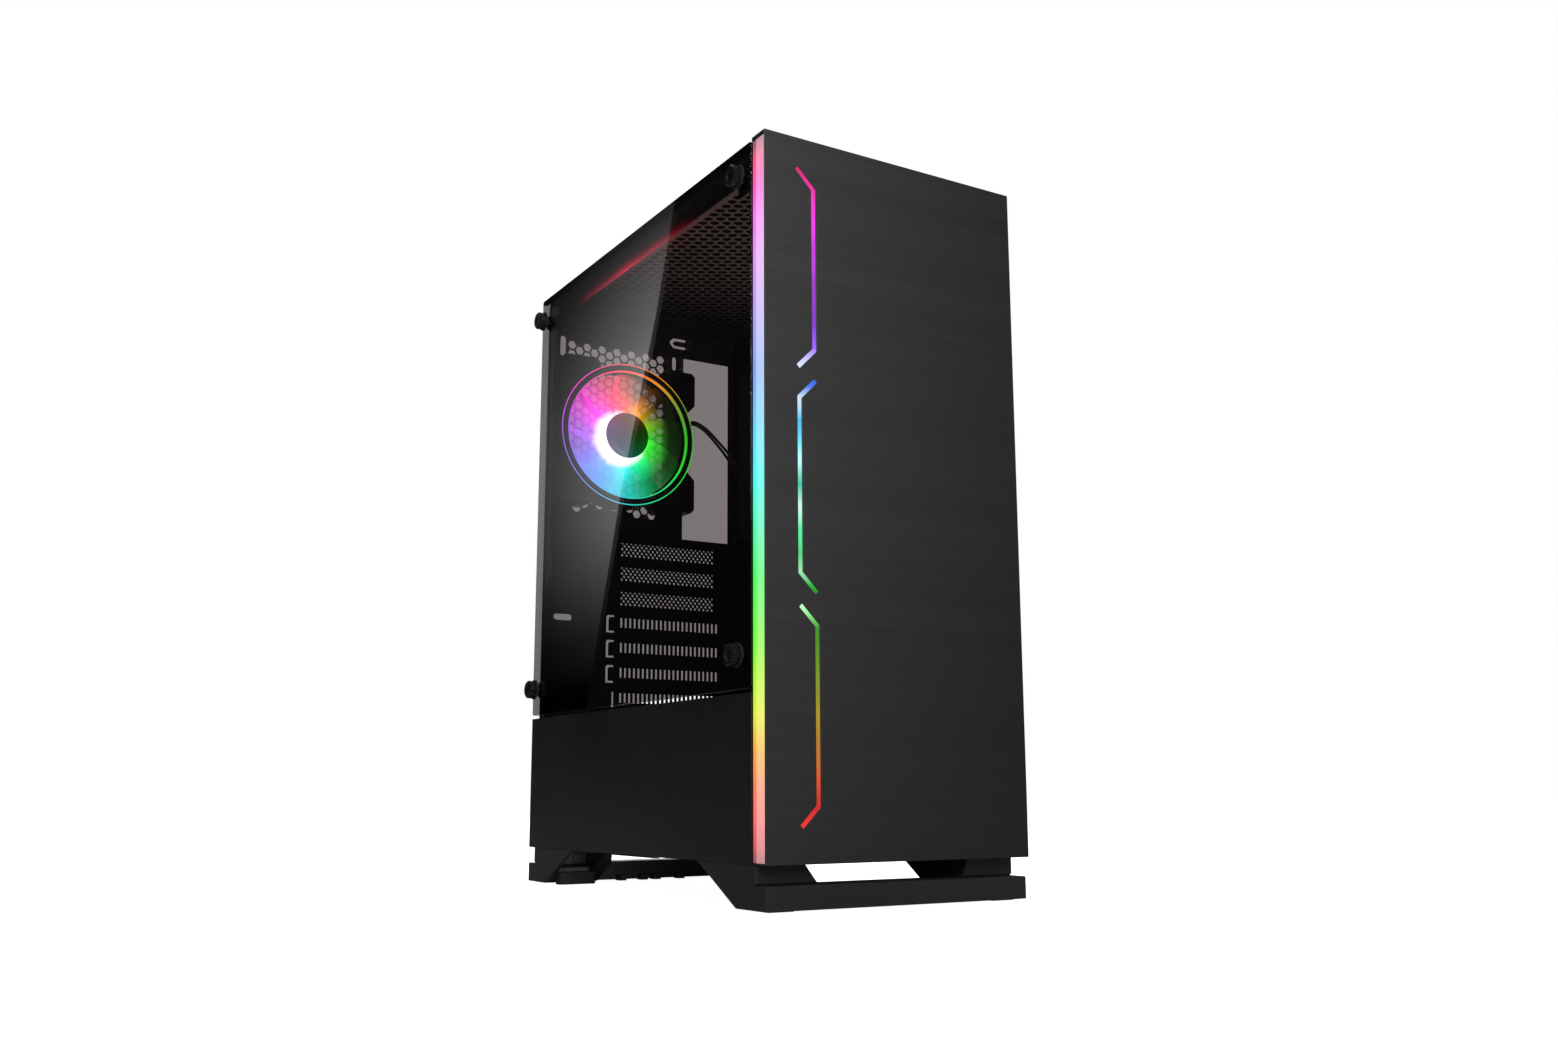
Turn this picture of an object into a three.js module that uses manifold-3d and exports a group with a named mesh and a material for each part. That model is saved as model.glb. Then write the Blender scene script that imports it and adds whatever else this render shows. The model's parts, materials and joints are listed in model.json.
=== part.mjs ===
// A mid-tower computer case with a lit front panel, a tinted glass side, and one lit rear fan.
// Millimetres. X runs from the glass side to the steel side, Y from front to back, Z up from the floor.
// Inside the tower group X = 0 is the middle of the body, Y = 0 the front face and Z = 0 the floor.
import * as THREE from "three";
import { mergeVertices } from "three/addons/utils/BufferGeometryUtils.js";
import Module from "manifold-3d";

const wasm = await Module();
wasm.setup();

// ---------------------------------------------------------------- driving dimensions

const GAP = 0.3; // clearance between pieces that touch
const BODY_WIDTH = 192;
const BODY_DEPTH = 354;
const TOTAL_HEIGHT = 465;
const FOOT_HEIGHT = 26;
const SHEET = 1; // sheet steel

const LEFT = -BODY_WIDTH / 2; // outer face of the glass
const RIGHT = BODY_WIDTH / 2; // outer face of the right side panel

const BEZEL_DEPTH = 15.3; // front panel, front to back
const FASCIA_THICK = 1;
const CAP_THICK = 2.8; // the shell's top over the light strip

const CHASSIS_FRONT = BEZEL_DEPTH + GAP;
const CHASSIS_LEFT = -90.4;
const CHASSIS_RIGHT = 94.3;
const CHASSIS_BOTTOM = FOOT_HEIGHT + GAP;
const CEILING = 458.5; // underside of the top plate
const FLOOR = CHASSIS_BOTTOM + SHEET; // upper face of the base plate
const REAR_INSIDE = BODY_DEPTH - SHEET;
const FRONT_INSIDE = CHASSIS_FRONT + SHEET + 2 * GAP; // where the sheets behind the front wall start

const SHROUD_TOP = 121.5;
const GLASS_THICK = 3.8;
const GLASS_BOTTOM = 126;
const GLASS_TOP = 463.5;
const LOWER_PANEL_TOP = 123.4;
const SIDE_FRONT = 16; // front edge of both side panels

const TRAY_X = 83; // motherboard side of the tray
const BOARD_X = 75; // where a fitted motherboard's face would be
const BOARD_THICK = 1.6;

const SLOT_COUNT = 7;
const SLOT_PITCH = 20.32;
const SLOT_TOP = 262.9; // height of the first card slot's middle
const SLOT_SPAN = [-31, 71];
const SLOT_HALF_HEIGHT = 6.5;

const FAN_SIZE = 120;
const FAN_THICK = 25;
const FAN_X = -29;
const FAN_Z = 355;
const FAN_FRONT = REAR_INSIDE - GAP - FAN_THICK;

const PSU_OPENING = { x: [-73, 73], z: [31, 115] };
// Tabs that the power supply's screws go through, and the standard places of their holes.
const PSU_TABS = [
  { x: [-74, -61], z: [30, 44], hole: [-69, 36] },
  { x: [61, 74], z: [30, 44], hole: [69, 36] },
  { x: [61, 74], z: [93, 116], hole: [69, 100] },
  { x: [-74, -38], z: [102, 116], hole: [-45, 110] },
];
const SCREW_BOSS = { radius: 4.5, hole: 1.8, proud: 0.5 }; // raised ring round a screw hole in a sheet
const IO_OPENING = { x: [33.1, 77.5], z: [277.4, 436.2] };

const SCREW_SPOTS = [
  [31.5, 445.5],
  [31.5, 146],
  [349.5, 445.5],
  [349.5, 146],
]; // glass thumbscrews, Y and Z
const SCREW_HEAD_RADIUS = 6.8;
const SCREW_PROUD = 7; // how far a glass thumbscrew stands out of the glass
const SHANK_RADIUS = 1.75;
const SCREW_HOLE_RADIUS = 2.1;
const RIGHT_SCREW_X = 89;
const RIGHT_SCREW_HEIGHTS = [60, 430];
const RIGHT_SCREW_LENGTH = 7.5;

const MATERIALS = {
  steel: { color: 0x1d1b1c, roughness: 0.55, metalness: 0.6 },
  fascia: { color: 0x383839, roughness: 0.4, metalness: 0.7 },
  plastic: { color: 0x211f20, roughness: 0.5, metalness: 0 },
  blackGloss: { color: 0x121112, roughness: 0.2, metalness: 0 },
  glass: { color: 0x2a2827, roughness: 0.05, metalness: 0, opacity: 0.45, transparent: true },
  lens: { color: 0xe8d0f4, roughness: 0.3, metalness: 0 },
  rubber: { color: 0x141414, roughness: 0.9, metalness: 0 },
  board: { color: 0x123a22, roughness: 0.6, metalness: 0 },
  blades: { color: 0xc8c8e8, roughness: 0.2, metalness: 0 },
  chrome: { color: 0x9a9a9c, roughness: 0.25, metalness: 1 },
};

// ---------------------------------------------------------------- geometry helpers

// A closed three.js geometry as a solid that can be joined and cut.
function solid(geometry) {
  const bare = geometry.index ? geometry.toNonIndexed() : geometry;
  bare.deleteAttribute("normal");
  bare.deleteAttribute("uv");
  const merged = mergeVertices(bare, 1e-4);
  return new wasm.Manifold(
    new wasm.Mesh({
      numProp: 3,
      vertProperties: merged.attributes.position.array,
      triVerts: new Uint32Array(merged.index.array),
    }),
  );
}

function geometryOf(piece) {
  const mesh = piece.getMesh();
  const geometry = new THREE.BufferGeometry();
  geometry.setAttribute("position", new THREE.BufferAttribute(new Float32Array(mesh.vertProperties), 3));
  geometry.setIndex(new THREE.BufferAttribute(new Uint32Array(mesh.triVerts), 1));
  geometry.computeVertexNormals();
  return geometry;
}

const union = (pieces) => pieces.reduce((whole, piece) => whole.add(piece));
const cut = (piece, tools) => tools.reduce((whole, tool) => whole.subtract(tool), piece);

// A box between two corners, given as one pair of limits for each axis.
function box([x0, x1], [y0, y1], [z0, z1]) {
  const geometry = new THREE.BoxGeometry(x1 - x0, y1 - y0, z1 - z0);
  return solid(geometry.translate((x0 + x1) / 2, (y0 + y1) / 2, (z0 + z1) / 2));
}

const AXIS_X = new THREE.Vector3(1, 0, 0);
const AXIS_Y = new THREE.Vector3(0, 1, 0);
const AXIS_Z = new THREE.Vector3(0, 0, 1);
const FRAMES = {
  x: new THREE.Matrix4().makeBasis(AXIS_Y, AXIS_Z, AXIS_X),
  y: new THREE.Matrix4().makeBasis(AXIS_X, AXIS_Z, AXIS_Y.clone().negate()),
  z: new THREE.Matrix4(),
};

// An outline extruded along one axis. Its two coordinates are (Y, Z) for x, (X, Z) for y and (X, Y) for z.
function prism(shape, axis, [from, to]) {
  const geometry = new THREE.ExtrudeGeometry(shape, { depth: to - from, bevelEnabled: false });
  geometry.applyMatrix4(FRAMES[axis]);
  const start = { x: [from, 0, 0], y: [0, to, 0], z: [0, 0, from] }[axis];
  return solid(geometry.translate(...start));
}

const outline = (points) => new THREE.Shape(points.map(([a, b]) => new THREE.Vector2(a, b)));

function circle(a, b, radius, sides) {
  const corner = (i) => (2 * Math.PI * (i + 0.5)) / sides;
  return outline(
    Array.from({ length: sides }, (_, i) => [
      a + radius * Math.cos(corner(i)),
      b + radius * Math.sin(corner(i)),
    ]),
  );
}

function roundedRect([a0, a1], [b0, b1], radius, steps = 3) {
  const centres = [
    [a1 - radius, b1 - radius],
    [a0 + radius, b1 - radius],
    [a0 + radius, b0 + radius],
    [a1 - radius, b0 + radius],
  ];
  const points = centres.flatMap(([a, b], corner) =>
    Array.from({ length: steps + 1 }, (_, i) => {
      const angle = ((corner + i / steps) * Math.PI) / 2;
      return [a + radius * Math.cos(angle), b + radius * Math.sin(angle)];
    }),
  );
  return outline(points);
}

const rod = (axis, a, b, radius, limits, sides = 16) => prism(circle(a, b, radius, sides), axis, limits);

// A turned piece about the X axis through (y, z): its profile is [x, radius] pairs that close on themselves.
function turnedAboutX(profile, y, z, sides) {
  const points = profile.map(([x, radius]) => new THREE.Vector2(radius, x));
  const geometry = new THREE.LatheGeometry([...points, points[0]], sides);
  // The lathe turns about Y: Y becomes X, X becomes Y reversed.
  geometry.applyMatrix4(new THREE.Matrix4().makeRotationZ(-Math.PI / 2));
  return solid(geometry.translate(0, y, z));
}

// A bar of constant width along a bent centre line in the X-Z plane, with mitred bends and square ends.
function bentBar(points, width, limits) {
  const half = width / 2;
  const path = points.map(([x, z]) => new THREE.Vector2(x, z));
  const normals = path.slice(1).map((point, i) => {
    const along = point.clone().sub(path[i]).normalize();
    return new THREE.Vector2(-along.y, along.x);
  });
  const offset = (i) => {
    const before = normals[Math.max(i - 1, 0)];
    const after = normals[Math.min(i, normals.length - 1)];
    const middle = before.clone().add(after).normalize();
    return middle.multiplyScalar(half / middle.dot(before));
  };
  const left = path.map((point, i) => point.clone().add(offset(i)));
  const right = path.map((point, i) => point.clone().sub(offset(i)));
  return prism(new THREE.Shape([...left, ...right.reverse()]), "y", limits);
}

const tower = new THREE.Group();

function add(name, material, piece) {
  const mesh = new THREE.Mesh(geometryOf(piece), new THREE.MeshStandardMaterial(MATERIALS[material]));
  mesh.name = name;
  tower.add(mesh);
}

// ---------------------------------------------------------------- chassis sheets

// Base plate, with intake slots under the power supply and two rails that carry the dust filter.
const FILTER = { x: [-50, 45], y: [222, 350], z: [22.4, 25.6] };
const FILTER_RAIL = { y: [228, 346], z: [20.8, CHASSIS_BOTTOM + 0.2], wall: 1.4, lip: 3, lipThick: 1.2 };
const INTAKE = { x: [-44, 40], y: [232, 330], count: 8, width: 6 };

function slotRow(x, y, z, count, width) {
  const pitch = (x[1] - x[0] - width) / (count - 1);
  return Array.from({ length: count }, (_, i) => {
    const start = x[0] + i * pitch;
    return box([start, start + width], y, z);
  });
}

function filterRail(inner, side) {
  const { y, z, wall, lip, lipThick } = FILTER_RAIL;
  const clear = inner + side * GAP;
  const outer = clear + side * wall;
  const order = (a, b) => [Math.min(a, b), Math.max(a, b)];
  const web = box(order(clear, outer), y, z);
  return web.add(box(order(clear - side * lip, outer), y, [z[0], z[0] + lipThick]));
}

function basePlate() {
  const y = [CHASSIS_FRONT, REAR_INSIDE - GAP];
  const plate = box([CHASSIS_LEFT, CHASSIS_RIGHT], y, [CHASSIS_BOTTOM, FLOOR]);
  const rails = [filterRail(FILTER.x[0], -1), filterRail(FILTER.x[1], 1)];
  const through = [CHASSIS_BOTTOM - 1, FLOOR + 1];
  return cut(union([plate, ...rails]), slotRow(INTAKE.x, INTAKE.y, through, INTAKE.count, INTAKE.width));
}
add("base_plate", "steel", basePlate());

function rightScrewHoles(through) {
  return RIGHT_SCREW_HEIGHTS.map((z) => rod("y", RIGHT_SCREW_X, z, SCREW_HOLE_RADIUS, through, 12));
}

// Rear panel. The vent in front of the fan is a row of slots inside the fan's circle.
const VENT = { radius: 54, count: 9, pitch: 11, slotWidth: 6 };
const SMALL_SLOTS = [
  { x: [-80.5, -75.5], z: [420, 438] },
  { x: [-81, -65], z: [202.5, 207.5] },
];

function rearPanel() {
  const through = [REAR_INSIDE - 1, BODY_DEPTH + 1];
  const height = [CHASSIS_BOTTOM, CEILING + SHEET];
  const plate = box([CHASSIS_LEFT, CHASSIS_RIGHT], [REAR_INSIDE, BODY_DEPTH], height);
  const slots = Array.from({ length: SLOT_COUNT }, (_, i) => {
    const middle = SLOT_TOP - i * SLOT_PITCH;
    return box(SLOT_SPAN, through, [middle - SLOT_HALF_HEIGHT, middle + SLOT_HALF_HEIGHT]);
  });
  const vent = Array.from({ length: VENT.count }, (_, i) => {
    const across = (i - (VENT.count - 1) / 2) * VENT.pitch;
    const half = Math.sqrt(VENT.radius ** 2 - across ** 2);
    const start = FAN_X + across - VENT.slotWidth / 2;
    return box([start, start + VENT.slotWidth], through, [FAN_Z - half, FAN_Z + half]);
  });
  const smallSlots = SMALL_SLOTS.map(({ x, z }) => prism(roundedRect(x, z, 1.5, 2), "y", through));
  const openings = [
    box(IO_OPENING.x, through, IO_OPENING.z),
    box(PSU_OPENING.x, through, PSU_OPENING.z),
    ...smallSlots,
  ];
  const opened = cut(plate, [...slots, ...vent, ...openings, ...rightScrewHoles(through)]);
  const tabs = PSU_TABS.map(({ x, z }) => box(x, [REAR_INSIDE, BODY_DEPTH], z));
  const rings = PSU_TABS.map(({ hole }) => {
    const [x, z] = hole;
    return rod("y", x, z, SCREW_BOSS.radius, [REAR_INSIDE - SCREW_BOSS.proud, REAR_INSIDE + 0.5], 12);
  });
  const holes = PSU_TABS.map(({ hole }) => rod("y", hole[0], hole[1], SCREW_BOSS.hole, through, 12));
  return cut(union([opened, ...tabs, ...rings]), holes);
}
add("rear_panel", "steel", rearPanel());

// Motherboard tray: processor cut-out, cable openings, and nine raised screw bosses.
const CPU_CUTOUT = { y: [205, 300], z: [335, 435] };
const CABLE_OPENINGS = [
  { y: [60, 84], z: [170, 240] },
  { y: [60, 84], z: [280, 350] },
  { y: [120, 190], z: [124, 135] },
  { y: [230, 300], z: [441, 455] },
];
const PORT_NOTCH = { y: [CHASSIS_FRONT, 47], z: [440, CEILING] }; // clears the port board
const GROMMET = { y: 96, z: 205, hole: 8 };

// Screw bosses at the nine holes of a standard full-size board, counted from its rear and upper edges.
const BOARD_REAR = REAR_INSIDE - 2;
const BOARD_TOP = 442;
const BOSS_COLUMNS = [10.16, 165.1, 237.49].map((inset) => BOARD_REAR - inset);
const BOSS_ROWS = [6.35, 163.83, 288.29].map((drop) => BOARD_TOP - drop);

function motherboardTray() {
  const through = [TRAY_X - 1, TRAY_X + SHEET + 1];
  const y = [FRONT_INSIDE, REAR_INSIDE - GAP];
  const plate = box([TRAY_X, TRAY_X + SHEET], y, [FLOOR + GAP, CEILING - GAP]);
  const bossSpan = [BOARD_X + BOARD_THICK, TRAY_X + 0.5];
  const bosses = BOSS_COLUMNS.flatMap((column) =>
    BOSS_ROWS.map((row) => rod("x", column, row, 3, bossSpan, 6)),
  );
  const openings = [CPU_CUTOUT, PORT_NOTCH, ...CABLE_OPENINGS].map((gap) => box(through, gap.y, gap.z));
  const grommetHole = rod("x", GROMMET.y, GROMMET.z, GROMMET.hole, through, 16);
  return cut(union([plate, ...bosses]), [...openings, grommetHole]);
}
add("motherboard_tray", "steel", motherboardTray());

// Top plate: two banks of vent slots, and an opening for the front-panel ports. The glass-side frame
// rises past its left edge.
const TOP_VENT = { x: [-66, 66], y: [75, 325], count: 9, slot: 7, bridge: 10 };
const PORT_OPENING = { x: [12, 90], y: [22, 44] };

function topPlate() {
  const thickness = [CEILING, CEILING + SHEET];
  const through = [CEILING - 1, CEILING + SHEET + 1];
  const across = [CHASSIS_LEFT + SHEET + GAP, CHASSIS_RIGHT];
  const plate = box(across, [CHASSIS_FRONT, REAR_INSIDE - GAP], thickness);
  const { x, y, count, slot, bridge } = TOP_VENT;
  const middle = (y[0] + y[1]) / 2;
  const spans = [
    [y[0], middle - bridge / 2],
    [middle + bridge / 2, y[1]],
  ];
  const banks = spans.flatMap((span) => slotRow(x, span, through, count, slot));
  return cut(plate, [...banks, box(PORT_OPENING.x, PORT_OPENING.y, through)]);
}
add("top_plate", "steel", topPlate());

// Chassis front wall, with three round intakes for 120 mm fans and a raised ring at each fan's screws.
const INTAKE_HEIGHTS = [88, 214, 340];
const INTAKE_X = 2;
const INTAKE_RADIUS = 57;
const FAN_SCREW_REACH = 52.5; // from a fan's middle to its screws, across and up

function frontWall() {
  const limits = [CHASSIS_FRONT, CHASSIS_FRONT + SHEET];
  const through = [limits[0] - 1, limits[1] + 1];
  const plate = box([CHASSIS_LEFT, CHASSIS_RIGHT], limits, [FLOOR + GAP, CEILING - GAP]);
  const intakes = INTAKE_HEIGHTS.map((z) => rod("y", INTAKE_X, z, INTAKE_RADIUS, through, 24));
  const reaches = [-FAN_SCREW_REACH, FAN_SCREW_REACH];
  const corners = reaches.flatMap((dx) => reaches.map((dz) => [dx, dz]));
  const spots = INTAKE_HEIGHTS.flatMap((z) => corners.map(([dx, dz]) => [INTAKE_X + dx, z + dz]));
  const raised = [limits[1] - 0.5, limits[1] + SCREW_BOSS.proud];
  const rings = spots.map(([x, z]) => rod("y", x, z, SCREW_BOSS.radius, raised, 12));
  const holes = spots.map(([x, z]) => rod("y", x, z, SCREW_BOSS.hole, through, 8));
  return cut(union([cut(plate, intakes), ...rings]), holes);
}
add("front_wall", "steel", frontWall());

// Frame over and beside the glass opening, with a lug behind each thumbscrew. Its posts stand on the
// shroud, and its top rail reaches up behind the glass's upper edge.
const FRAME_TOP = GLASS_TOP - GAP;
const FRAME_INNER = { y: [27, 343], z: [SHROUD_TOP, 444] };
const LUG_HALF = 10;

function glassFrame() {
  const limits = [CHASSIS_LEFT, CHASSIS_LEFT + SHEET];
  const through = [limits[0] - 1, limits[1] + 1];
  const y = [FRONT_INSIDE, REAR_INSIDE - GAP];
  const z = [SHROUD_TOP + 1.5, FRAME_TOP];
  const arch = cut(box(limits, y, z), [box(through, FRAME_INNER.y, FRAME_INNER.z)]);
  const lugs = SCREW_SPOTS.map(([sy, sz]) => {
    const lugY = [Math.max(y[0], sy - LUG_HALF), Math.min(y[1], sy + LUG_HALF)];
    const lugZ = [Math.max(z[0], sz - LUG_HALF), Math.min(z[1], sz + LUG_HALF)];
    return prism(roundedRect(lugY, lugZ, 2, 2), "x", limits);
  });
  const holes = SCREW_SPOTS.map(([sy, sz]) => rod("x", sy, sz, SCREW_HOLE_RADIUS, through, 12));
  return cut(union([arch, ...lugs]), holes);
}
add("glass_side_frame", "steel", glassFrame());

// Power-supply shroud: a top with cable slots, and a side wall behind the lower panel.
const SHROUD_SLOTS = {
  x: [52, 70],
  y: [
    [90, 140],
    [200, 250],
  ],
};

function psuShroud() {
  const y = [FRONT_INSIDE, REAR_INSIDE - GAP];
  const top = box([CHASSIS_LEFT, TRAY_X - GAP], y, [SHROUD_TOP - SHEET, SHROUD_TOP]);
  const side = box([CHASSIS_LEFT, CHASSIS_LEFT + SHEET], y, [FLOOR + GAP, SHROUD_TOP]);
  const through = [SHROUD_TOP - 2, SHROUD_TOP + 1];
  const cableSlots = SHROUD_SLOTS.y.map((span) => box(SHROUD_SLOTS.x, span, through));
  return cut(top.add(side), cableSlots);
}
add("psu_shroud", "steel", psuShroud());

// ---------------------------------------------------------------- side panels

function lowerSidePanel() {
  const z = [FOOT_HEIGHT, LOWER_PANEL_TOP];
  const y = [SIDE_FRONT, BODY_DEPTH];
  const reach = LEFT + 5; // how far the folded lips reach in
  return union([
    box([LEFT, LEFT + SHEET], y, z),
    box([LEFT, reach], y, [z[1] - SHEET, z[1]]),
    box([LEFT, reach], y, [z[0], z[0] + SHEET]),
    box([LEFT, reach], [y[1] - SHEET, y[1]], z),
  ]);
}
add("lower_side_panel", "steel", lowerSidePanel());

const GLASS_HOLE_RADIUS = 4.2;

function glassPanel() {
  const limits = [LEFT, LEFT + GLASS_THICK];
  const pane = prism(roundedRect([SIDE_FRONT, BODY_DEPTH], [GLASS_BOTTOM, GLASS_TOP], 2, 3), "x", limits);
  return cut(
    pane,
    SCREW_SPOTS.map(([y, z]) => rod("x", y, z, GLASS_HOLE_RADIUS, [limits[0] - 1, limits[1] + 1], 16)),
  );
}
add("glass_panel", "glass", glassPanel());

// Rubber bush: a spool that sits in the glass hole, with a flange on each face.
const BUSH_FRONT = LEFT - GAP - 1.4;
const BUSH_BACK = LEFT + GLASS_THICK + GAP + 0.9;
const BUSH_PROFILE = [
  [BUSH_FRONT, 2.2],
  [BUSH_FRONT, 7.6],
  [LEFT - GAP, 7.6],
  [LEFT - GAP, 3.8],
  [LEFT + GLASS_THICK + GAP, 3.8],
  [LEFT + GLASS_THICK + GAP, 6.5],
  [BUSH_BACK, 6.5],
  [BUSH_BACK, 2.2],
];

// Thumbscrew: a waisted head with a long shank, turned about X.
const SCREW_PROFILE = [
  [LEFT - SCREW_PROUD, 0],
  [LEFT - SCREW_PROUD, SCREW_HEAD_RADIUS - 0.8],
  [LEFT - SCREW_PROUD + 0.8, SCREW_HEAD_RADIUS],
  [BUSH_FRONT - GAP, SCREW_HEAD_RADIUS],
  [BUSH_FRONT - GAP, SHANK_RADIUS],
  [CHASSIS_LEFT + 5, SHANK_RADIUS],
  [CHASSIS_LEFT + 5, 0],
];

SCREW_SPOTS.forEach(([y, z], i) => {
  add(`glass_bush_${i + 1}`, "rubber", turnedAboutX(BUSH_PROFILE, y, z, 14));
  add(`glass_thumbscrew_${i + 1}`, "blackGloss", turnedAboutX(SCREW_PROFILE, y, z, 16));
});

// Right side panel: a flat sheet with a lip folded over the back of the chassis.
const LIP = { x: [82.5, RIGHT], y: [BODY_DEPTH + GAP, BODY_DEPTH + GAP + SHEET], z: [34, 456] };
const RIGHT_KNOB_RADIUS = 6;

function rightSidePanel() {
  const sheet = box([RIGHT - SHEET, RIGHT], [SIDE_FRONT, LIP.y[1]], [FOOT_HEIGHT, GLASS_TOP]);
  const lip = box(LIP.x, LIP.y, LIP.z);
  const through = [LIP.y[0] - 1, LIP.y[1] + 1];
  return cut(sheet.add(lip), rightScrewHoles(through));
}
add("right_side_panel", "steel", rightSidePanel());

RIGHT_SCREW_HEIGHTS.forEach((z, i) => {
  const head = LIP.y[1] + GAP;
  const knob = rod("y", RIGHT_SCREW_X, z, RIGHT_KNOB_RADIUS, [head, head + RIGHT_SCREW_LENGTH], 16);
  const shank = rod("y", RIGHT_SCREW_X, z, SHANK_RADIUS, [BODY_DEPTH - 5, head + 0.5], 16);
  add(`right_thumbscrew_${i + 1}`, "blackGloss", knob.add(shank));
});

// ---------------------------------------------------------------- front panel

const STRIP_BACK = LEFT + 2.8;
const SHELL_LEFT = -90.9;
const SHELL_WALL = 2;
const SHELL_FRONT = FASCIA_THICK + GAP;

// Three bent lines, each from its upper end to its lower end, as X and Z.
const LINES = {
  top: [
    [-72.9, 445.2],
    [-60.8, 433.1],
    [-60.8, 330],
    [-72.5, 318.3],
  ],
  middle: [
    [-60.2, 310.9],
    [-71.6, 299.5],
    [-71.6, 193.3],
    [-60.2, 181.9],
  ],
  bottom: [
    [-71.7, 174],
    [-60.2, 162.5],
    [-60.2, 58.3],
    [-71.7, 46.8],
  ],
};
const LINE_WIDTH = 3;
const LENS_WIDTH = LINE_WIDTH - 2 * GAP;
const FLANGE_WIDTH = LINE_WIDTH + 4;

function frontFascia() {
  const sheet = box([LEFT, RIGHT], [0, FASCIA_THICK], [FOOT_HEIGHT, TOTAL_HEIGHT]);
  return cut(
    sheet,
    Object.values(LINES).map((line) => bentBar(line, LINE_WIDTH, [-1, FASCIA_THICK + 1])),
  );
}
add("front_fascia", "fascia", frontFascia());

const SIDE_INTAKES = { y: [5, 12], first: 52, pitch: 32, count: 12, height: 22 };
const BOTTOM_INTAKE = { x: [-50, 50], y: [4.5, 12.5] };

function frontShell() {
  const y = [SHELL_FRONT, BEZEL_DEPTH];
  const through = [y[0] - 1, y[1] + 1];
  const inside = {
    x: [SHELL_LEFT + SHELL_WALL, RIGHT - SHELL_WALL],
    z: [FOOT_HEIGHT + SHELL_WALL, TOTAL_HEIGHT - CAP_THICK],
  };
  const whole = box([LEFT, RIGHT], y, [FOOT_HEIGHT, TOTAL_HEIGHT]);
  const stripChannel = box([LEFT - 1, SHELL_LEFT], through, [FOOT_HEIGHT + 0.8, TOTAL_HEIGHT - CAP_THICK]);
  const sideIntakes = Array.from({ length: SIDE_INTAKES.count }, (_, i) => {
    const z = SIDE_INTAKES.first + i * SIDE_INTAKES.pitch;
    return box([RIGHT - SHELL_WALL - 1, RIGHT + 1], SIDE_INTAKES.y, [z, z + SIDE_INTAKES.height]);
  });
  const below = [FOOT_HEIGHT - 1, FOOT_HEIGHT + SHELL_WALL + 1];
  const bottomIntake = box(BOTTOM_INTAKE.x, BOTTOM_INTAKE.y, below);
  return cut(whole, [box(inside.x, through, inside.z), stripChannel, ...sideIntakes, bottomIntake]);
}
add("front_shell", "plastic", frontShell());

// The strip has a flat front facet and a rear facet that falls away from the side face.
const STRIP_FACET = 9.8;
const STRIP_SECTION = [
  [LEFT, SHELL_FRONT],
  [STRIP_BACK, SHELL_FRONT],
  [STRIP_BACK, BEZEL_DEPTH],
  [LEFT + 0.9, BEZEL_DEPTH],
  [LEFT, STRIP_FACET],
];
const STRIP_HEIGHT = [FOOT_HEIGHT + 0.8 + GAP, TOTAL_HEIGHT - CAP_THICK - GAP];
add("light_strip_lens", "lens", prism(outline(STRIP_SECTION), "z", STRIP_HEIGHT));

// Circuit board with a column of light packages on its front.
const STRIP_LIGHTS = { first: 40, pitch: 31, count: 14, size: 4 };

function stripBoard() {
  const back = SHELL_LEFT - GAP;
  const board = box([back - 0.8, back], [3.5, 13.5], [32, 458]);
  const lights = Array.from({ length: STRIP_LIGHTS.count }, (_, i) => {
    const z = STRIP_LIGHTS.first + i * STRIP_LIGHTS.pitch;
    return box([back - 1.7, back - 0.5], [6.5, 6.5 + STRIP_LIGHTS.size], [z, z + STRIP_LIGHTS.size]);
  });
  return union([board, ...lights]);
}
add("light_strip_board", "board", stripBoard());

// Lens of one line: a bar that fills the slot and a wider flange behind the fascia.
for (const [name, line] of Object.entries(LINES)) {
  const bar = bentBar(line, LENS_WIDTH, [0.2, FASCIA_THICK + GAP + 0.2]);
  const flange = bentBar(line, FLANGE_WIDTH, [FASCIA_THICK + GAP, FASCIA_THICK + GAP + 2]);
  add(`line_lens_${name}`, "lens", bar.add(flange));
}

// Circuit board behind the three lines, with its light packages facing forwards.
const LINE_LIGHTS = { first: 58, pitch: 34, count: 12, size: 5 };

function lineBoard() {
  const board = box([-78, -54], [5.6, 7], [38, 454]);
  const lights = Array.from({ length: LINE_LIGHTS.count }, (_, i) => {
    const z = LINE_LIGHTS.first + i * LINE_LIGHTS.pitch;
    return box([-69, -63], [4.4, 5.8], [z, z + LINE_LIGHTS.size]);
  });
  return union([board, ...lights]);
}
add("light_line_board", "board", lineBoard());

// ---------------------------------------------------------------- feet

const BAR_HEIGHT = 14.5;
const BAR_DEPTH = 25;
const FOOT_BOTTOM = 0.8; // the rubber pads stand this far below the bar
const FOOT_RIGHT = 93;

// Pedestals seen from the front: outer and inner edge at the foot, outer and inner edge at the case,
// and the span that is hollowed out from the sloping side.
const PEDESTALS = [
  { low: [LEFT, -54], high: [LEFT, -63], hollow: [LEFT + 3, -66] },
  { low: [49, 91], high: [55, 91], hollow: [58, 88] },
];
const PEDESTAL_FRONT = 11;
const HOLLOWS = [
  { from: 40, z: [13.5, 23.5] }, // upper hollow, with two screw bosses on its wall
  { from: 46, z: [-1, 12.3] },
];
const HOLLOW_BOSS = { radius: 3, inset: 8, proud: 1.2 };
const SHADOW_GROOVE = { depth: 1.4, height: 0.8 }; // between the bar and the pedestals' front
const PADS = [-82, 79];
const PAD_HALF = [9, 7];
const PAD_Y = 12.5;

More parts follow.
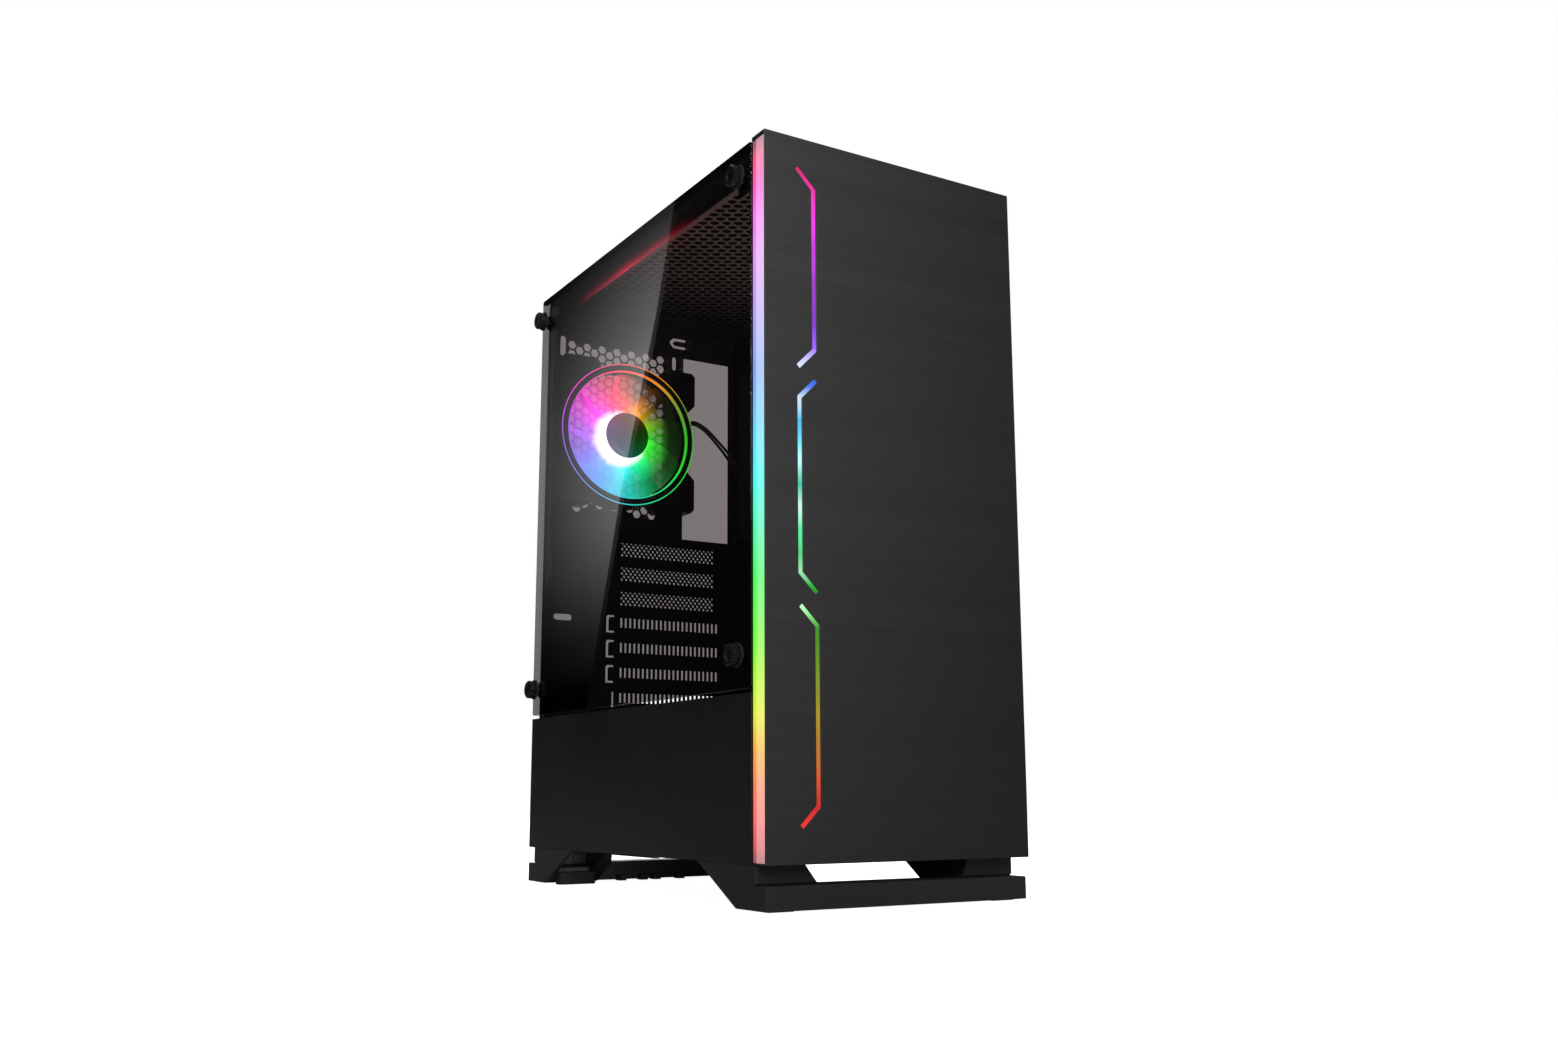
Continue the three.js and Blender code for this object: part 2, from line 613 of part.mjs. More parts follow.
// The front foot; the rear foot is the same piece turned end for end about the middle of the body.
function foot() {
  const bar = box([LEFT, FOOT_RIGHT], [0, BAR_DEPTH], [FOOT_BOTTOM, BAR_HEIGHT]);
  const profile = outline([
    [PEDESTAL_FRONT, 5],
    [25, FOOT_BOTTOM],
    [34, FOOT_BOTTOM],
    [81, FOOT_HEIGHT],
    [PEDESTAL_FRONT, FOOT_HEIGHT],
  ]);
  const pedestals = PEDESTALS.map(({ low, high, hollow }) => {
    const front = outline([
      [low[0], FOOT_BOTTOM],
      [low[1], FOOT_BOTTOM],
      [low[1], BAR_HEIGHT],
      [high[1], FOOT_HEIGHT],
      [high[0], FOOT_HEIGHT],
    ]);
    const block = prism(profile, "x", low).intersect(prism(front, "y", [0, 90]));
    const [upper, lower] = HOLLOWS.map(({ from, z }) => box(hollow, [from, 90], z));
    const { radius, inset, proud } = HOLLOW_BOSS;
    const middle = (HOLLOWS[0].z[0] + HOLLOWS[0].z[1]) / 2;
    const bosses = [hollow[0] + inset, hollow[1] - inset].map((x) =>
      rod("y", x, middle, radius, [HOLLOWS[0].from - 0.5, HOLLOWS[0].from + proud], 12),
    );
    return union([cut(block, [upper, lower]), ...bosses]);
  });
  const grooveY = [PEDESTAL_FRONT - 1, PEDESTAL_FRONT + SHADOW_GROOVE.depth];
  const groove = box([LEFT - 1, FOOT_RIGHT], grooveY, [BAR_HEIGHT, BAR_HEIGHT + SHADOW_GROOVE.height]);
  const pockets = PADS.map((x) => {
    const [halfX, halfY] = PAD_HALF.map((half) => half + GAP);
    return box([x - halfX, x + halfX], [PAD_Y - halfY, PAD_Y + halfY], [0, 2.8]);
  });
  return cut(union([bar, ...pedestals]), [...pockets, groove]);
}

function pad(x, y) {
  const [halfX, halfY] = PAD_HALF;
  return prism(roundedRect([x - halfX, x + halfX], [y - halfY, y + halfY], 2, 2), "z", [0, 2.5]);
}

add("front_foot", "plastic", foot());
// Mirroring about the plane Y = 0 keeps left and right, and the mesh is then moved to the rear edge.
add("rear_foot", "plastic", foot().mirror([0, 1, 0]).translate([0, BODY_DEPTH, 0]));
PADS.forEach((x, i) => {
  add(`front_foot_pad_${i + 1}`, "rubber", pad(x, PAD_Y));
  add(`rear_foot_pad_${i + 1}`, "rubber", pad(x, BODY_DEPTH - PAD_Y));
});

// ---------------------------------------------------------------- rear fittings

const COVER = { halfHeight: 9.2, overhang: 3, tabLength: 9, tabHalfHeight: 8 };

for (let i = 0; i < SLOT_COUNT; i += 1) {
  const middle = SLOT_TOP - i * SLOT_PITCH;
  const y = [REAR_INSIDE - GAP - SHEET, REAR_INSIDE - GAP];
  const x = [SLOT_SPAN[0] - COVER.overhang, SLOT_SPAN[1] + COVER.overhang];
  const plate = box(x, y, [middle - COVER.halfHeight, middle + COVER.halfHeight]);
  const tabHeight = [middle - COVER.tabHalfHeight, middle + COVER.tabHalfHeight];
  add(`slot_cover_${i + 1}`, "steel", plate.add(box([x[0] - COVER.tabLength, x[0] + 1], y, tabHeight)));
}

// Outer plate over the card screws: a sheet with a lip at its free edge.
function slotScrewCover() {
  const x = [-58, -36];
  const z = [SLOT_TOP - (SLOT_COUNT - 1) * SLOT_PITCH - 10, SLOT_TOP + 12];
  const back = BODY_DEPTH + GAP;
  const lip = box([x[1] - SHEET, x[1]], [back, back + 5], z);
  return box(x, [back, back + SHEET], z).add(lip);
}
add("slot_screw_cover", "steel", slotScrewCover());

// ---------------------------------------------------------------- fan

const FAN_BORE = 56;
const FAN_BACK = FAN_FRONT + FAN_THICK;
const FAN_HUB_RADIUS = 19;
const BLADE_COUNT = 9;
const BLADE_RADIUS = 52.5;
const LIGHT_RING = { outer: 59, inner: 52.5, depth: 3.4 };

// One corner lug seen from the front, as a share of all four: a square corner whose sides bevel back
// to the ring. The signs put it in its corner.
const LUG = { long: 28, bevel: 7, corner: 3 };

function fanLug(signX, signZ) {
  const half = FAN_SIZE / 2;
  const start = half - LUG.long;
  const points = [
    [start - LUG.bevel, start - LUG.bevel],
    [half - LUG.bevel, start - LUG.bevel],
    [half, start],
    [half, half - LUG.corner],
    [half - LUG.corner, half],
    [start, half],
    [start - LUG.bevel, half - LUG.bevel],
  ].map(([a, b]) => [FAN_X + signX * a, FAN_Z + signZ * b]);
  return outline(signX * signZ > 0 ? points : points.reverse());
}

// A ring with four lugs, a seat for the light ring in its front, and a motor seat on four struts.
const FAN_BARREL_RADIUS = 59.2;
const MOTOR_SEAT = { radius: 21, thick: 3 };
function fanFrame() {
  const depth = [FAN_FRONT, FAN_BACK];
  const through = [FAN_FRONT - 1, FAN_BACK + 1];
  const seatDepth = [FAN_FRONT - 1, FAN_FRONT + LIGHT_RING.depth + GAP];
  const signs = [-1, 1].flatMap((signX) => [-1, 1].map((signZ) => [signX, signZ]));
  const lugs = signs.map(([signX, signZ]) => prism(fanLug(signX, signZ), "y", depth));
  const barrel = rod("y", FAN_X, FAN_Z, FAN_BARREL_RADIUS, depth, 40);
  const ringSeat = rod("y", FAN_X, FAN_Z, LIGHT_RING.outer + GAP, seatDepth, 40);
  const bore = rod("y", FAN_X, FAN_Z, FAN_BORE, through, 40);
  const screwHoles = signs.map(([signX, signZ]) =>
    rod("y", FAN_X + signX * FAN_SCREW_REACH, FAN_Z + signZ * FAN_SCREW_REACH, 2.2, through, 8),
  );
  const back = [FAN_BACK - MOTOR_SEAT.thick, FAN_BACK];
  const motorSeat = rod("y", FAN_X, FAN_Z, MOTOR_SEAT.radius, back, 24);
  const struts = [45, 135, 225, 315].map((degrees) => {
    const strut = box([15, FAN_BORE + 1.5], back, [-2, 2]);
    return strut.rotate([0, degrees, 0]).translate([FAN_X, 0, FAN_Z]);
  });
  return union([cut(union([barrel, ...lugs]), [bore, ringSeat, ...screwHoles]), motorSeat, ...struts]);
}
add("fan_frame", "blackGloss", fanFrame());

function lightRing() {
  const limits = [FAN_FRONT + 0.1, FAN_FRONT + LIGHT_RING.depth];
  const disc = rod("y", FAN_X, FAN_Z, LIGHT_RING.outer, limits, 48);
  return disc.subtract(rod("y", FAN_X, FAN_Z, LIGHT_RING.inner, [limits[0] - 1, limits[1] + 1], 48));
}
add("fan_light_ring", "lens", lightRing());

// One blade: a curved section across the fan's depth, extruded outwards from the hub.
function blade(turn) {
  const start = FAN_FRONT + LIGHT_RING.depth + 2;
  const points = [
    [-14, start + 1],
    [-5, start + 6.5],
    [5, start + 11],
    [15, start + 14],
    [15, start + 15.5],
    [4, start + 12.8],
    [-6, start + 8],
    [-15, start + 1.6],
  ];
  const shape = outline(points.map(([across, depth]) => [across, -depth]));
  const geometry = new THREE.ExtrudeGeometry(shape, { depth: BLADE_RADIUS - 12, bevelEnabled: false });
  // The section lies across X and Y; the blade grows along Z from inside the hub.
  geometry.applyMatrix4(new THREE.Matrix4().makeScale(1, -1, -1)).translate(0, 0, -12);
  return solid(geometry).rotate([0, turn, 0]);
}

function fanRotor() {
  const hub = rod("y", 0, 0, FAN_HUB_RADIUS, [FAN_FRONT + 2, FAN_BACK - 3 - GAP], 32);
  const blades = Array.from({ length: BLADE_COUNT }, (_, i) => blade((i * 360) / BLADE_COUNT));
  const sweep = rod("y", 0, 0, BLADE_RADIUS - 0.5, [FAN_FRONT, FAN_BACK], 40);
  return union([hub, union(blades).intersect(sweep)]).translate([FAN_X, 0, FAN_Z]);
}
add("fan_rotor", "blades", fanRotor());

// Fan cable: out of the frame's side, down to the grommet in the tray, and into the controller behind it.
const CABLE_RADIUS = 2.2;
const CONTROLLER = { x: [TRAY_X + SHEET + GAP, RIGHT - SHEET - 1.5], y: [86, 118], z: [125, 180] };
const CABLE_X_BEHIND = TRAY_X + SHEET + 5.6;
const CABLE_ROUTE = [
  [FAN_X + FAN_SIZE / 2 + GAP, 337, 374],
  [35, 334, 374],
  [43, 331, 369],
  [54, 330, 359],
  [65, 330, 348],
  [73, 328, 334],
  [77, 321, 318],
  [79, 300, 296],
  [79.6, 262, 271],
  [79.8, 214, 247],
  [79.6, 165, 227],
  [78, 124, 214],
  [77.6, 106, 208],
  [79.6, 97.6, GROMMET.z + 0.5],
  [TRAY_X + 0.5, GROMMET.y, GROMMET.z],
  [CABLE_X_BEHIND - 2, GROMMET.y - 0.4, GROMMET.z - 1.4],
  [CABLE_X_BEHIND, GROMMET.y - 1, GROMMET.z - 14],
  [CABLE_X_BEHIND, GROMMET.y - 1, CONTROLLER.z[1] + GAP],
];

function tube(route, radius, sides, steps) {
  const curve = new THREE.CatmullRomCurve3(
    route.map((point) => new THREE.Vector3(...point)),
    false,
    "centripetal",
  );
  const section = circle(0, 0, radius, sides);
  return solid(new THREE.ExtrudeGeometry(section, { steps, extrudePath: curve, bevelEnabled: false }));
}
add("fan_cable", "rubber", tube(CABLE_ROUTE, CABLE_RADIUS, 8, 48));
add("light_controller", "plastic", box(CONTROLLER.x, CONTROLLER.y, CONTROLLER.z));

// Grommet: a rubber spool in the tray's hole that the cable passes through.
const GROMMET_PROFILE = [
  [TRAY_X - GAP - 1.5, 6],
  [TRAY_X - GAP - 1.5, 10],
  [TRAY_X - GAP, 10],
  [TRAY_X - GAP, GROMMET.hole - 0.5],
  [TRAY_X + SHEET + GAP, GROMMET.hole - 0.5],
  [TRAY_X + SHEET + GAP, 10],
  [TRAY_X + SHEET + GAP + 1.5, 10],
  [TRAY_X + SHEET + GAP + 1.5, 6],
];
add("cable_grommet", "rubber", turnedAboutX(GROMMET_PROFILE, GROMMET.y, GROMMET.z, 16));

// ---------------------------------------------------------------- filters

// A dust filter: a frame whose window is crossed by bars and closed by a thin mesh sheet.
const MESH_THICK = 0.4;

function filter({ x, y, z }, border, bars, sunk) {
  const window = { x: [x[0] + border, x[1] - border], y: [y[0] + border, y[1] - border] };
  const pitch = (window.x[1] - window.x[0]) / (bars + 1);
  const frame = cut(box(x, y, z), [box(window.x, window.y, [z[0] - 1, z[1] + 1])]);
  const ribs = Array.from({ length: bars }, (_, i) => {
    const middle = window.x[0] + (i + 1) * pitch;
    const along = [window.y[0] - 0.5, window.y[1] + 0.5];
    return box([middle - 1, middle + 1], along, [z[0] + sunk, z[1] - sunk]);
  });
  const level = (z[0] + z[1] - MESH_THICK) / 2;
  const across = [window.x[0] - 0.5, window.x[1] + 0.5];
  const sheet = box(across, [window.y[0] - 0.5, window.y[1] + 0.5], [level, level + MESH_THICK]);
  return union([frame, ...ribs, sheet]);
}

const TOP_FILTER = {
  x: [-74, 74],
  y: [67, 333],
  z: [CEILING + SHEET + GAP, CEILING + SHEET + GAP + 2.4],
};
add("top_dust_filter", "plastic", filter(TOP_FILTER, 7, 6, 0.5));
add("psu_dust_filter", "plastic", filter(FILTER, 6, 4, 0.8));

// ---------------------------------------------------------------- ports and buttons

const BEZEL = { x: [8, 93], y: [18.6, 47], z: [CEILING + SHEET + GAP, 463.8] };
const BUTTONS = {
  power_button: { x: 80, radius: 7 },
  reset_button: { x: 65.5, radius: 3.2 },
  light_button: { x: 56.5, radius: 3.2 },
};
const BUTTON_Y = 33;
const PORT_HEIGHT = [447.5, 462.6];
const DATA_PORT = { width: 6.6, depth: 14 };
const SOUND_JACK = { width: 6.4, depth: 6.4 };
const PORTS = [
  { x: 17.5, y: 33, ...DATA_PORT },
  { x: 27, y: 33, ...DATA_PORT },
  { x: 36.5, y: 33, ...DATA_PORT },
  { x: 46.5, y: 29.2, ...SOUND_JACK },
  { x: 46.5, y: 36.8, ...SOUND_JACK },
];
const PORT_WALL = 0.7;
const PORT_BOARD = { x: [13, 89], y: [23, 43], z: [446, 448] };
const SWITCH = { half: 2, top: 457.8 };
const BUTTON_HEIGHT = [459.8, 464.7];

// The upright box round a port, grown by some margin on every side.
function portBlock({ x, y, width, depth }, margin, z) {
  const half = [width / 2 + margin, depth / 2 + margin];
  return box([x - half[0], x + half[0]], [y - half[1], y + half[1]], z);
}

function portBezel() {
  const through = [BEZEL.z[0] - 1, BEZEL.z[1] + 1];
  const ports = PORTS.map((port) => portBlock(port, GAP, through));
  const buttons = Object.values(BUTTONS).map(({ x, radius }) =>
    rod("z", x, BUTTON_Y, radius + GAP, through, 20),
  );
  return cut(prism(roundedRect(BEZEL.x, BEZEL.y, 3), "z", BEZEL.z), [...ports, ...buttons]);
}
add("port_bezel", "blackGloss", portBezel());

// Board under the top plate that carries the ports and one switch under each button.
function portBoard() {
  const board = box(PORT_BOARD.x, PORT_BOARD.y, PORT_BOARD.z);
  const sockets = PORTS.map((port) => {
    const mouth = portBlock(port, -PORT_WALL, [PORT_HEIGHT[1] - 10, PORT_HEIGHT[1] + 1]);
    return portBlock(port, 0, PORT_HEIGHT).subtract(mouth);
  });
  const { half, top } = SWITCH;
  const switches = Object.values(BUTTONS).map(({ x }) =>
    box([x - half, x + half], [BUTTON_Y - half, BUTTON_Y + half], [PORT_BOARD.z[1] - 0.5, top]),
  );
  return union([board, ...sockets, ...switches]);
}
add("port_board", "chrome", portBoard());

for (const [name, { x, radius }] of Object.entries(BUTTONS)) {
  add(name, "blackGloss", rod("z", x, BUTTON_Y, radius, BUTTON_HEIGHT, 20));
}

// ---------------------------------------------------------------- drive cage

const CAGE = { x: [-72, 80], y: [50, 164], z: [FLOOR + GAP, 106] };
const CAGE_SHEET = 1.2;
const DRIVE_TRAY = { x: [-68, 81.5], heights: [33, 69], height: 18, well: [-66, 77], wall: 3, floor: 2 };

function driveCage() {
  const wall = ([y0, y1]) => box(CAGE.x, [y0, y1], CAGE.z);
  return union([
    wall([CAGE.y[0], CAGE.y[0] + CAGE_SHEET]),
    wall([CAGE.y[1] - CAGE_SHEET, CAGE.y[1]]),
    box(CAGE.x, CAGE.y, [CAGE.z[1] - CAGE_SHEET, CAGE.z[1]]),
  ]);
}
add("drive_cage", "steel", driveCage());

DRIVE_TRAY.heights.forEach((z, i) => {
  const { x, height, well: wellX, wall, floor } = DRIVE_TRAY;
  const y = [CAGE.y[0] + CAGE_SHEET + GAP, CAGE.y[1] - CAGE_SHEET - GAP];
  const outer = box(x, y, [z, z + height]);
  const well = box(wellX, [y[0] + wall, y[1] - wall], [z + floor, z + height + 1]);
  add(`drive_tray_${i + 1}`, "plastic", outer.subtract(well));
});

// ---------------------------------------------------------------- origin

// The origin is the bottom centre of everything, the proud screw heads included.
const SPAN_X = [LEFT - SCREW_PROUD, RIGHT];
const SPAN_Y = [0, LIP.y[1] + GAP + RIGHT_SCREW_LENGTH];
tower.position.set(-(SPAN_X[0] + SPAN_X[1]) / 2, -(SPAN_Y[0] + SPAN_Y[1]) / 2, 0);

const part = new THREE.Group();
part.add(tower);
export default part;
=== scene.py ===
import json
import math

import bmesh
import bpy
from mathutils import Matrix, Vector


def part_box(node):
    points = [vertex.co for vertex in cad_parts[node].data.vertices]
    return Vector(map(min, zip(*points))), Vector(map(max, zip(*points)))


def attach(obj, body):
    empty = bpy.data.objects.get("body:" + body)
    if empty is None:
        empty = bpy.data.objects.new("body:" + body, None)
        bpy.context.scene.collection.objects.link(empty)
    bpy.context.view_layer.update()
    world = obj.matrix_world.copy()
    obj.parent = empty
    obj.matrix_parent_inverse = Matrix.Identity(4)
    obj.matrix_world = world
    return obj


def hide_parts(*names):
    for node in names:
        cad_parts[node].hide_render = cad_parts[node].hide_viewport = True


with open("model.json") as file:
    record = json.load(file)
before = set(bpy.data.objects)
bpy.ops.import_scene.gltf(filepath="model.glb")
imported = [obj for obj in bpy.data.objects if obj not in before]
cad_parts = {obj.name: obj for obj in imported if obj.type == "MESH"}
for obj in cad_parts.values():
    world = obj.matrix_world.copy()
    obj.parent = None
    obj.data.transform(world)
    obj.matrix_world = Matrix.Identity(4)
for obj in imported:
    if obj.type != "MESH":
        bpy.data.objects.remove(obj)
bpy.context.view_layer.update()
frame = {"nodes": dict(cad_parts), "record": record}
NODES = frame["nodes"]

# ---- frame of reference

MM = 0.001
face_low, face_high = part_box("front_fascia")
MIDDLE_X = (face_low.x + face_high.x) / 2
FRONT_Y = face_low.y
LEFT = (face_low.x - MIDDLE_X) / MM


def at(x, y, z):
    """A point in millimetres from the middle of the case's front edge, as a point of the shared frame."""
    return Vector((MIDDLE_X + x * MM, FRONT_Y + y * MM, z * MM))


def span(node):
    """The limits of a CAD node in the same millimetres: ((x0, x1), (y0, y1), (z0, z1))."""
    low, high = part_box(node)
    origin = Vector((MIDDLE_X, FRONT_Y, 0))
    low, high = (low - origin) / MM, (high - origin) / MM
    return (low.x, high.x), (low.y, high.y), (low.z, high.z)


def body_of(node):
    return next(name for name, nodes in frame["record"]["behaviour"]["bodies"].items() if node in nodes)


def new_object(name, data):
    made = bpy.data.objects.new(name, data)
    bpy.context.scene.collection.objects.link(made)
    return made


(FAN_X0, FAN_X1), _, (FAN_Z0, FAN_Z1) = span("fan_frame")
FAN_X = (FAN_X0 + FAN_X1) / 2
FAN_Z = (FAN_Z0 + FAN_Z1) / 2

# ---- camera

LENS = 32.453
SENSOR = 36.0
YAW, PITCH, ROLL = (math.radians(a) for a in (31.424, 9.824, -0.201))
SHIFT_UP = 0.0196
EYE = at(LEFT - 409.6, -685.9, 65.9)


def make_camera():
    ahead = Vector((math.sin(YAW) * math.cos(PITCH), math.cos(YAW) * math.cos(PITCH), math.sin(PITCH)))
    right = Vector((math.cos(YAW), -math.sin(YAW), 0))
    up = right.cross(ahead)
    turned_right = math.cos(ROLL) * right + math.sin(ROLL) * up
    turned_up = -math.sin(ROLL) * right + math.cos(ROLL) * up
    data = bpy.data.cameras.new("camera")
    data.lens, data.sensor_width, data.shift_y = LENS, SENSOR, SHIFT_UP
    data.clip_start, data.clip_end = 0.01, 50
    camera = new_object("camera", data)
    turn = Matrix((turned_right, turned_up, -ahead)).transposed()
    camera.matrix_world = Matrix.Translation(EYE) @ turn.to_4x4()
    bpy.context.scene.camera = camera


make_camera()

# ---- node material helpers

# Nearly all of a noise lies between these.
LOW_NOISE, HIGH_NOISE = 0.3, 0.7
# How deep a surface's relief is, in metres.
FINE_RELIEF = 0.0002
PEEL_RELIEF = 0.00025
COARSE_RELIEF = 0.0003


class Look:
    """A material under construction. Its coordinates are the shared frame's, in metres."""

    def __init__(self, name):
        self.material = bpy.data.materials.new(name)
        self.material.use_nodes = True
        self.tree = self.material.node_tree
        self.shader = self.tree.nodes["Principled BSDF"]
        self.output = self.tree.nodes["Material Output"]
        self.place = self.node("TexCoord").outputs["Object"]

    def node(self, kind, inputs=None, **settings):
        """A new node, with its sockets filled as in put."""
        made = self.tree.nodes.new("ShaderNode" + kind)
        for key, value in settings.items():
            setattr(made, key, value)
        return self.put(made, inputs or {})

    def put(self, made, inputs):
        """Sets each socket to a number or colour, or links it where the value is another socket."""
        for socket, value in inputs.items():
            if isinstance(value, bpy.types.NodeSocket):
                self.tree.links.new(value, made.inputs[socket])
            else:
                made.inputs[socket].default_value = value
        return made

    def set(self, **values):
        self.put(self.shader, {key.replace("_", " "): value for key, value in values.items()})
        return self

    def show(self, made):
        """Makes a shader node the surface."""
        self.put(self.output, {"Surface": made.outputs[0]})
        return self

    def stretched(self, scale):
        return self.node("Mapping", {"Vector": self.place, "Scale": scale}).outputs["Vector"]

    def noise(self, scale, detail=2.0, roughness=0.5, place=None):
        sockets = {"Vector": place or self.place, "Scale": scale, "Detail": detail, "Roughness": roughness}
        return self.node("TexNoise", sockets).outputs["Fac"]

    def fit(self, value, low, high, to_low=0.0, to_high=1.0):
        sockets = {"Value": value, "From Min": low, "From Max": high, "To Min": to_low, "To Max": to_high}
        return self.node("MapRange", sockets, clamp=True).outputs["Result"]

    def math(self, operation, a, b=0.0):
        return self.node("Math", {0: a, 1: b}, operation=operation).outputs[0]

    def times(self, a, b):
        return self.math("MULTIPLY", a, b)

    def between(self, depth, rise, fall):
        """A share that rises from 0 to 1 and falls again, each between two metres behind the front."""
        begin = self.fit(depth, FRONT_Y + rise[0], FRONT_Y + rise[1])
        end = self.fit(depth, FRONT_Y + fall[0], FRONT_Y + fall[1], 1.0, 0.0)
        return self.times(begin, end)

    def ramp(self, value, stops):
        """A colour ramp. Each stop is (position, colour) with a colour of three linear numbers."""
        made = self.node("ValToRGB", {"Fac": value})
        points = made.color_ramp.elements
        while len(points) < len(stops):
            points.new(0.5)
        for point, (position, colour) in zip(points, stops):
            point.position = position
            point.color = (*colour, 1)
        return made.outputs["Color"]

    def tones(self, value, dark, light, high=0.7):
        """Two colours, dark below LOW_NOISE and light above high."""
        return self.ramp(value, [(LOW_NOISE, dark), (high, light)])

    def mix(self, factor, a, b, blend="MIX"):
        made = self.node("Mix", {0: factor}, data_type="RGBA", blend_type=blend)
        for socket, value in ((6, a), (7, b)):
            self.put(made, {socket: value if isinstance(value, bpy.types.NodeSocket) else (*value, 1)})
        return made.outputs[2]

    def bump(self, height, strength, distance):
        made = self.node("Bump", {"Height": height, "Strength": strength, "Distance": distance})
        return self.set(Normal=made.outputs["Normal"])

    def satin(self, scale, strength=0.05):
        """A very fine, even relief."""
        return self.bump(self.noise(scale, 2), strength, FINE_RELIEF)

    def dull(self, value, low, high):
        """Roughness between low and high, following a noise."""
        return self.set(Roughness=self.fit(value, LOW_NOISE, HIGH_NOISE, low, high))

    def axes(self):
        return self.node("SeparateXYZ", {0: self.place}).outputs

    def around(self, centre):
        """(share of a turn, distance in metres) about the Y axis through a point. 0.75 of a turn is up."""
        x, _, z = self.axes()
        across = self.math("SUBTRACT", x, centre.x)
        above = self.math("SUBTRACT", z, centre.z)
        joined = self.node("CombineXYZ", {0: across, 1: above}).outputs[0]
        turn = self.node("TexGradient", {0: joined}, gradient_type="RADIAL")
        length = self.node("VectorMath", {0: joined}, operation="LENGTH")
        return turn.outputs["Fac"], length.outputs["Value"]

    def see_through(self, cover, tint):
        """Mixes the finished shader with a clear one: cover is the share of the shader that shows."""
        clear = self.node("BsdfTransparent", {"Color": (*tint, 1)})
        return self.show(self.node("MixShader", {0: cover, 1: clear.outputs[0], 2: self.shader.outputs[0]}))


def grey(level, warm=0.0):
    return (level * (1 + warm), level, level * (1 - warm))


# ---- painted, moulded and metal materials


def painted_steel(name="painted_steel", level=0.0055, rough=0.42):
    """Satin black powder coat: a fine orange peel, and patches that are a little duller."""
    look = Look(name)
    patches = look.noise(9, 3)
    peel = look.noise(1500, 2)
    colour = look.tones(patches, grey(level * 0.85, 0.03), grey(level * 1.2, 0.05), 0.75)
    look.dull(patches, rough - 0.06, rough + 0.08).set(Base_Color=colour, Specular_IOR_Level=0.35)
    return look.bump(peel, 0.16, PEEL_RELIEF).material


def brushed_front():
    """Dark anodised sheet: hair lines run across it, slow bands of lighter and darker metal, and painted
    shade towards the bottom and right.
    """
    look = Look("brushed_front")
    lines = look.noise(1, 4, 0.6, look.stretched((14, 14, 5200)))
    bands = look.noise(1, 2, 0.5, look.stretched((1.5, 1.5, 70)))
    across, _, height = look.axes()
    # Painted shade: the colour is darkened towards the bottom and towards the right.
    painted_shade_down = look.fit(height, 0.03, 0.26, 0.72, 1.14)
    painted_light_fade = look.fit(across, MIDDLE_X - 0.09, MIDDLE_X + 0.09, 1.3, 0.72)
    colour = look.tones(lines, (0.0215, 0.0212, 0.0215), (0.031, 0.0305, 0.031))
    painted_shade_colour = look.mix(1.0, colour, look.times(painted_shade_down, painted_light_fade), "MULTIPLY")
    look.set(Base_Color=painted_shade_colour, Metallic=0.25, Specular_IOR_Level=0.4)
    look.set(Roughness=look.fit(look.math("ADD", lines, bands), 0.7, 1.3, 0.4, 0.52))
    return look.bump(lines, 0.22, 0.00012).material


def moulded(name, level, rough, grain=0.25, shine=0.4):
    """Moulded plastic with a fine spark-eroded grain."""
    look = Look(name)
    grains = look.noise(2600, 3, 0.65)
    patches = look.noise(12, 2)
    colour = look.tones(patches, grey(level * 0.9, 0.02), grey(level * 1.12, 0.03))
    look.dull(grains, rough - 0.05, rough + 0.07).set(Base_Color=colour, Specular_IOR_Level=shine)
    return look.bump(grains, grain, FINE_RELIEF).material


def polished_black():
    """Gloss black with a faint haze."""
    look = Look("polished_black")
    haze = look.noise(40, 3)
    look.dull(haze, 0.14, 0.22).set(Base_Color=look.tones(haze, grey(0.006), grey(0.009), 0.8))
    return look.bump(look.noise(220, 2), 0.03, COARSE_RELIEF).material


def rubber():
    """Matt black rubber with a coarse grain."""
    look = Look("rubber")
    grains = look.noise(1900, 4, 0.7)
    look.set(Base_Color=look.tones(grains, grey(0.0064), grey(0.012)), Specular_IOR_Level=0.3)
    return look.dull(grains, 0.72, 0.88).bump(grains, 0.4, COARSE_RELIEF).material


def cable_sleeve():
    """Sheathed lead: a fine diagonal braid under a satin skin."""
    look = Look("cable_sleeve")
    sockets = {"Vector": look.place, "Scale": 260, "Distortion": 2.5}
    wave = look.node("TexWave", sockets, wave_type="BANDS", bands_direction="DIAGONAL")
    braid = wave.outputs["Fac"]
    look.set(Base_Color=look.ramp(braid, [(0.2, grey(0.006)), (0.8, grey(0.016))]))
    look.set(Roughness=look.fit(braid, 0, 1, 0.42, 0.55))
    return look.bump(braid, 0.35, COARSE_RELIEF).material


def circuit_board():
    """Green solder mask over copper tracks, with bright pads."""
    look = Look("circuit_board")
    tracks = look.node("TexBrick", {
        "Vector": look.place, "Scale": 220, "Mortar Size": 0.05, "Brick Width": 0.9, "Row Height": 0.35,
        "Color1": (0.006, 0.06, 0.025, 1), "Color2": (0.008, 0.075, 0.03, 1),
        "Mortar": (0.012, 0.12, 0.05, 1),
    })
    cells = look.node("TexVoronoi", {"Vector": look.place, "Scale": 420}).outputs["Distance"]
    pads = look.fit(cells, 0.16, 0.2, 1, 0)
    look.set(Base_Color=look.mix(pads, tracks.outputs["Color"], (0.5, 0.45, 0.36)))
    look.set(Metallic=pads, Roughness=look.fit(pads, 0, 1, 0.45, 0.3))
    return look.bump(tracks.outputs["Fac"], 0.2, FINE_RELIEF).material


def plated():
    """Bright plated metal with light scuffs."""
    look = Look("plated")
    scuffs = look.noise(90, 4, 0.7)
    look.set(Base_Color=look.tones(scuffs, (0.476, 0.476, 0.493), (0.56, 0.56, 0.58)), Metallic=1.0)
    return look.dull(scuffs, 0.18, 0.34).satin(700).material


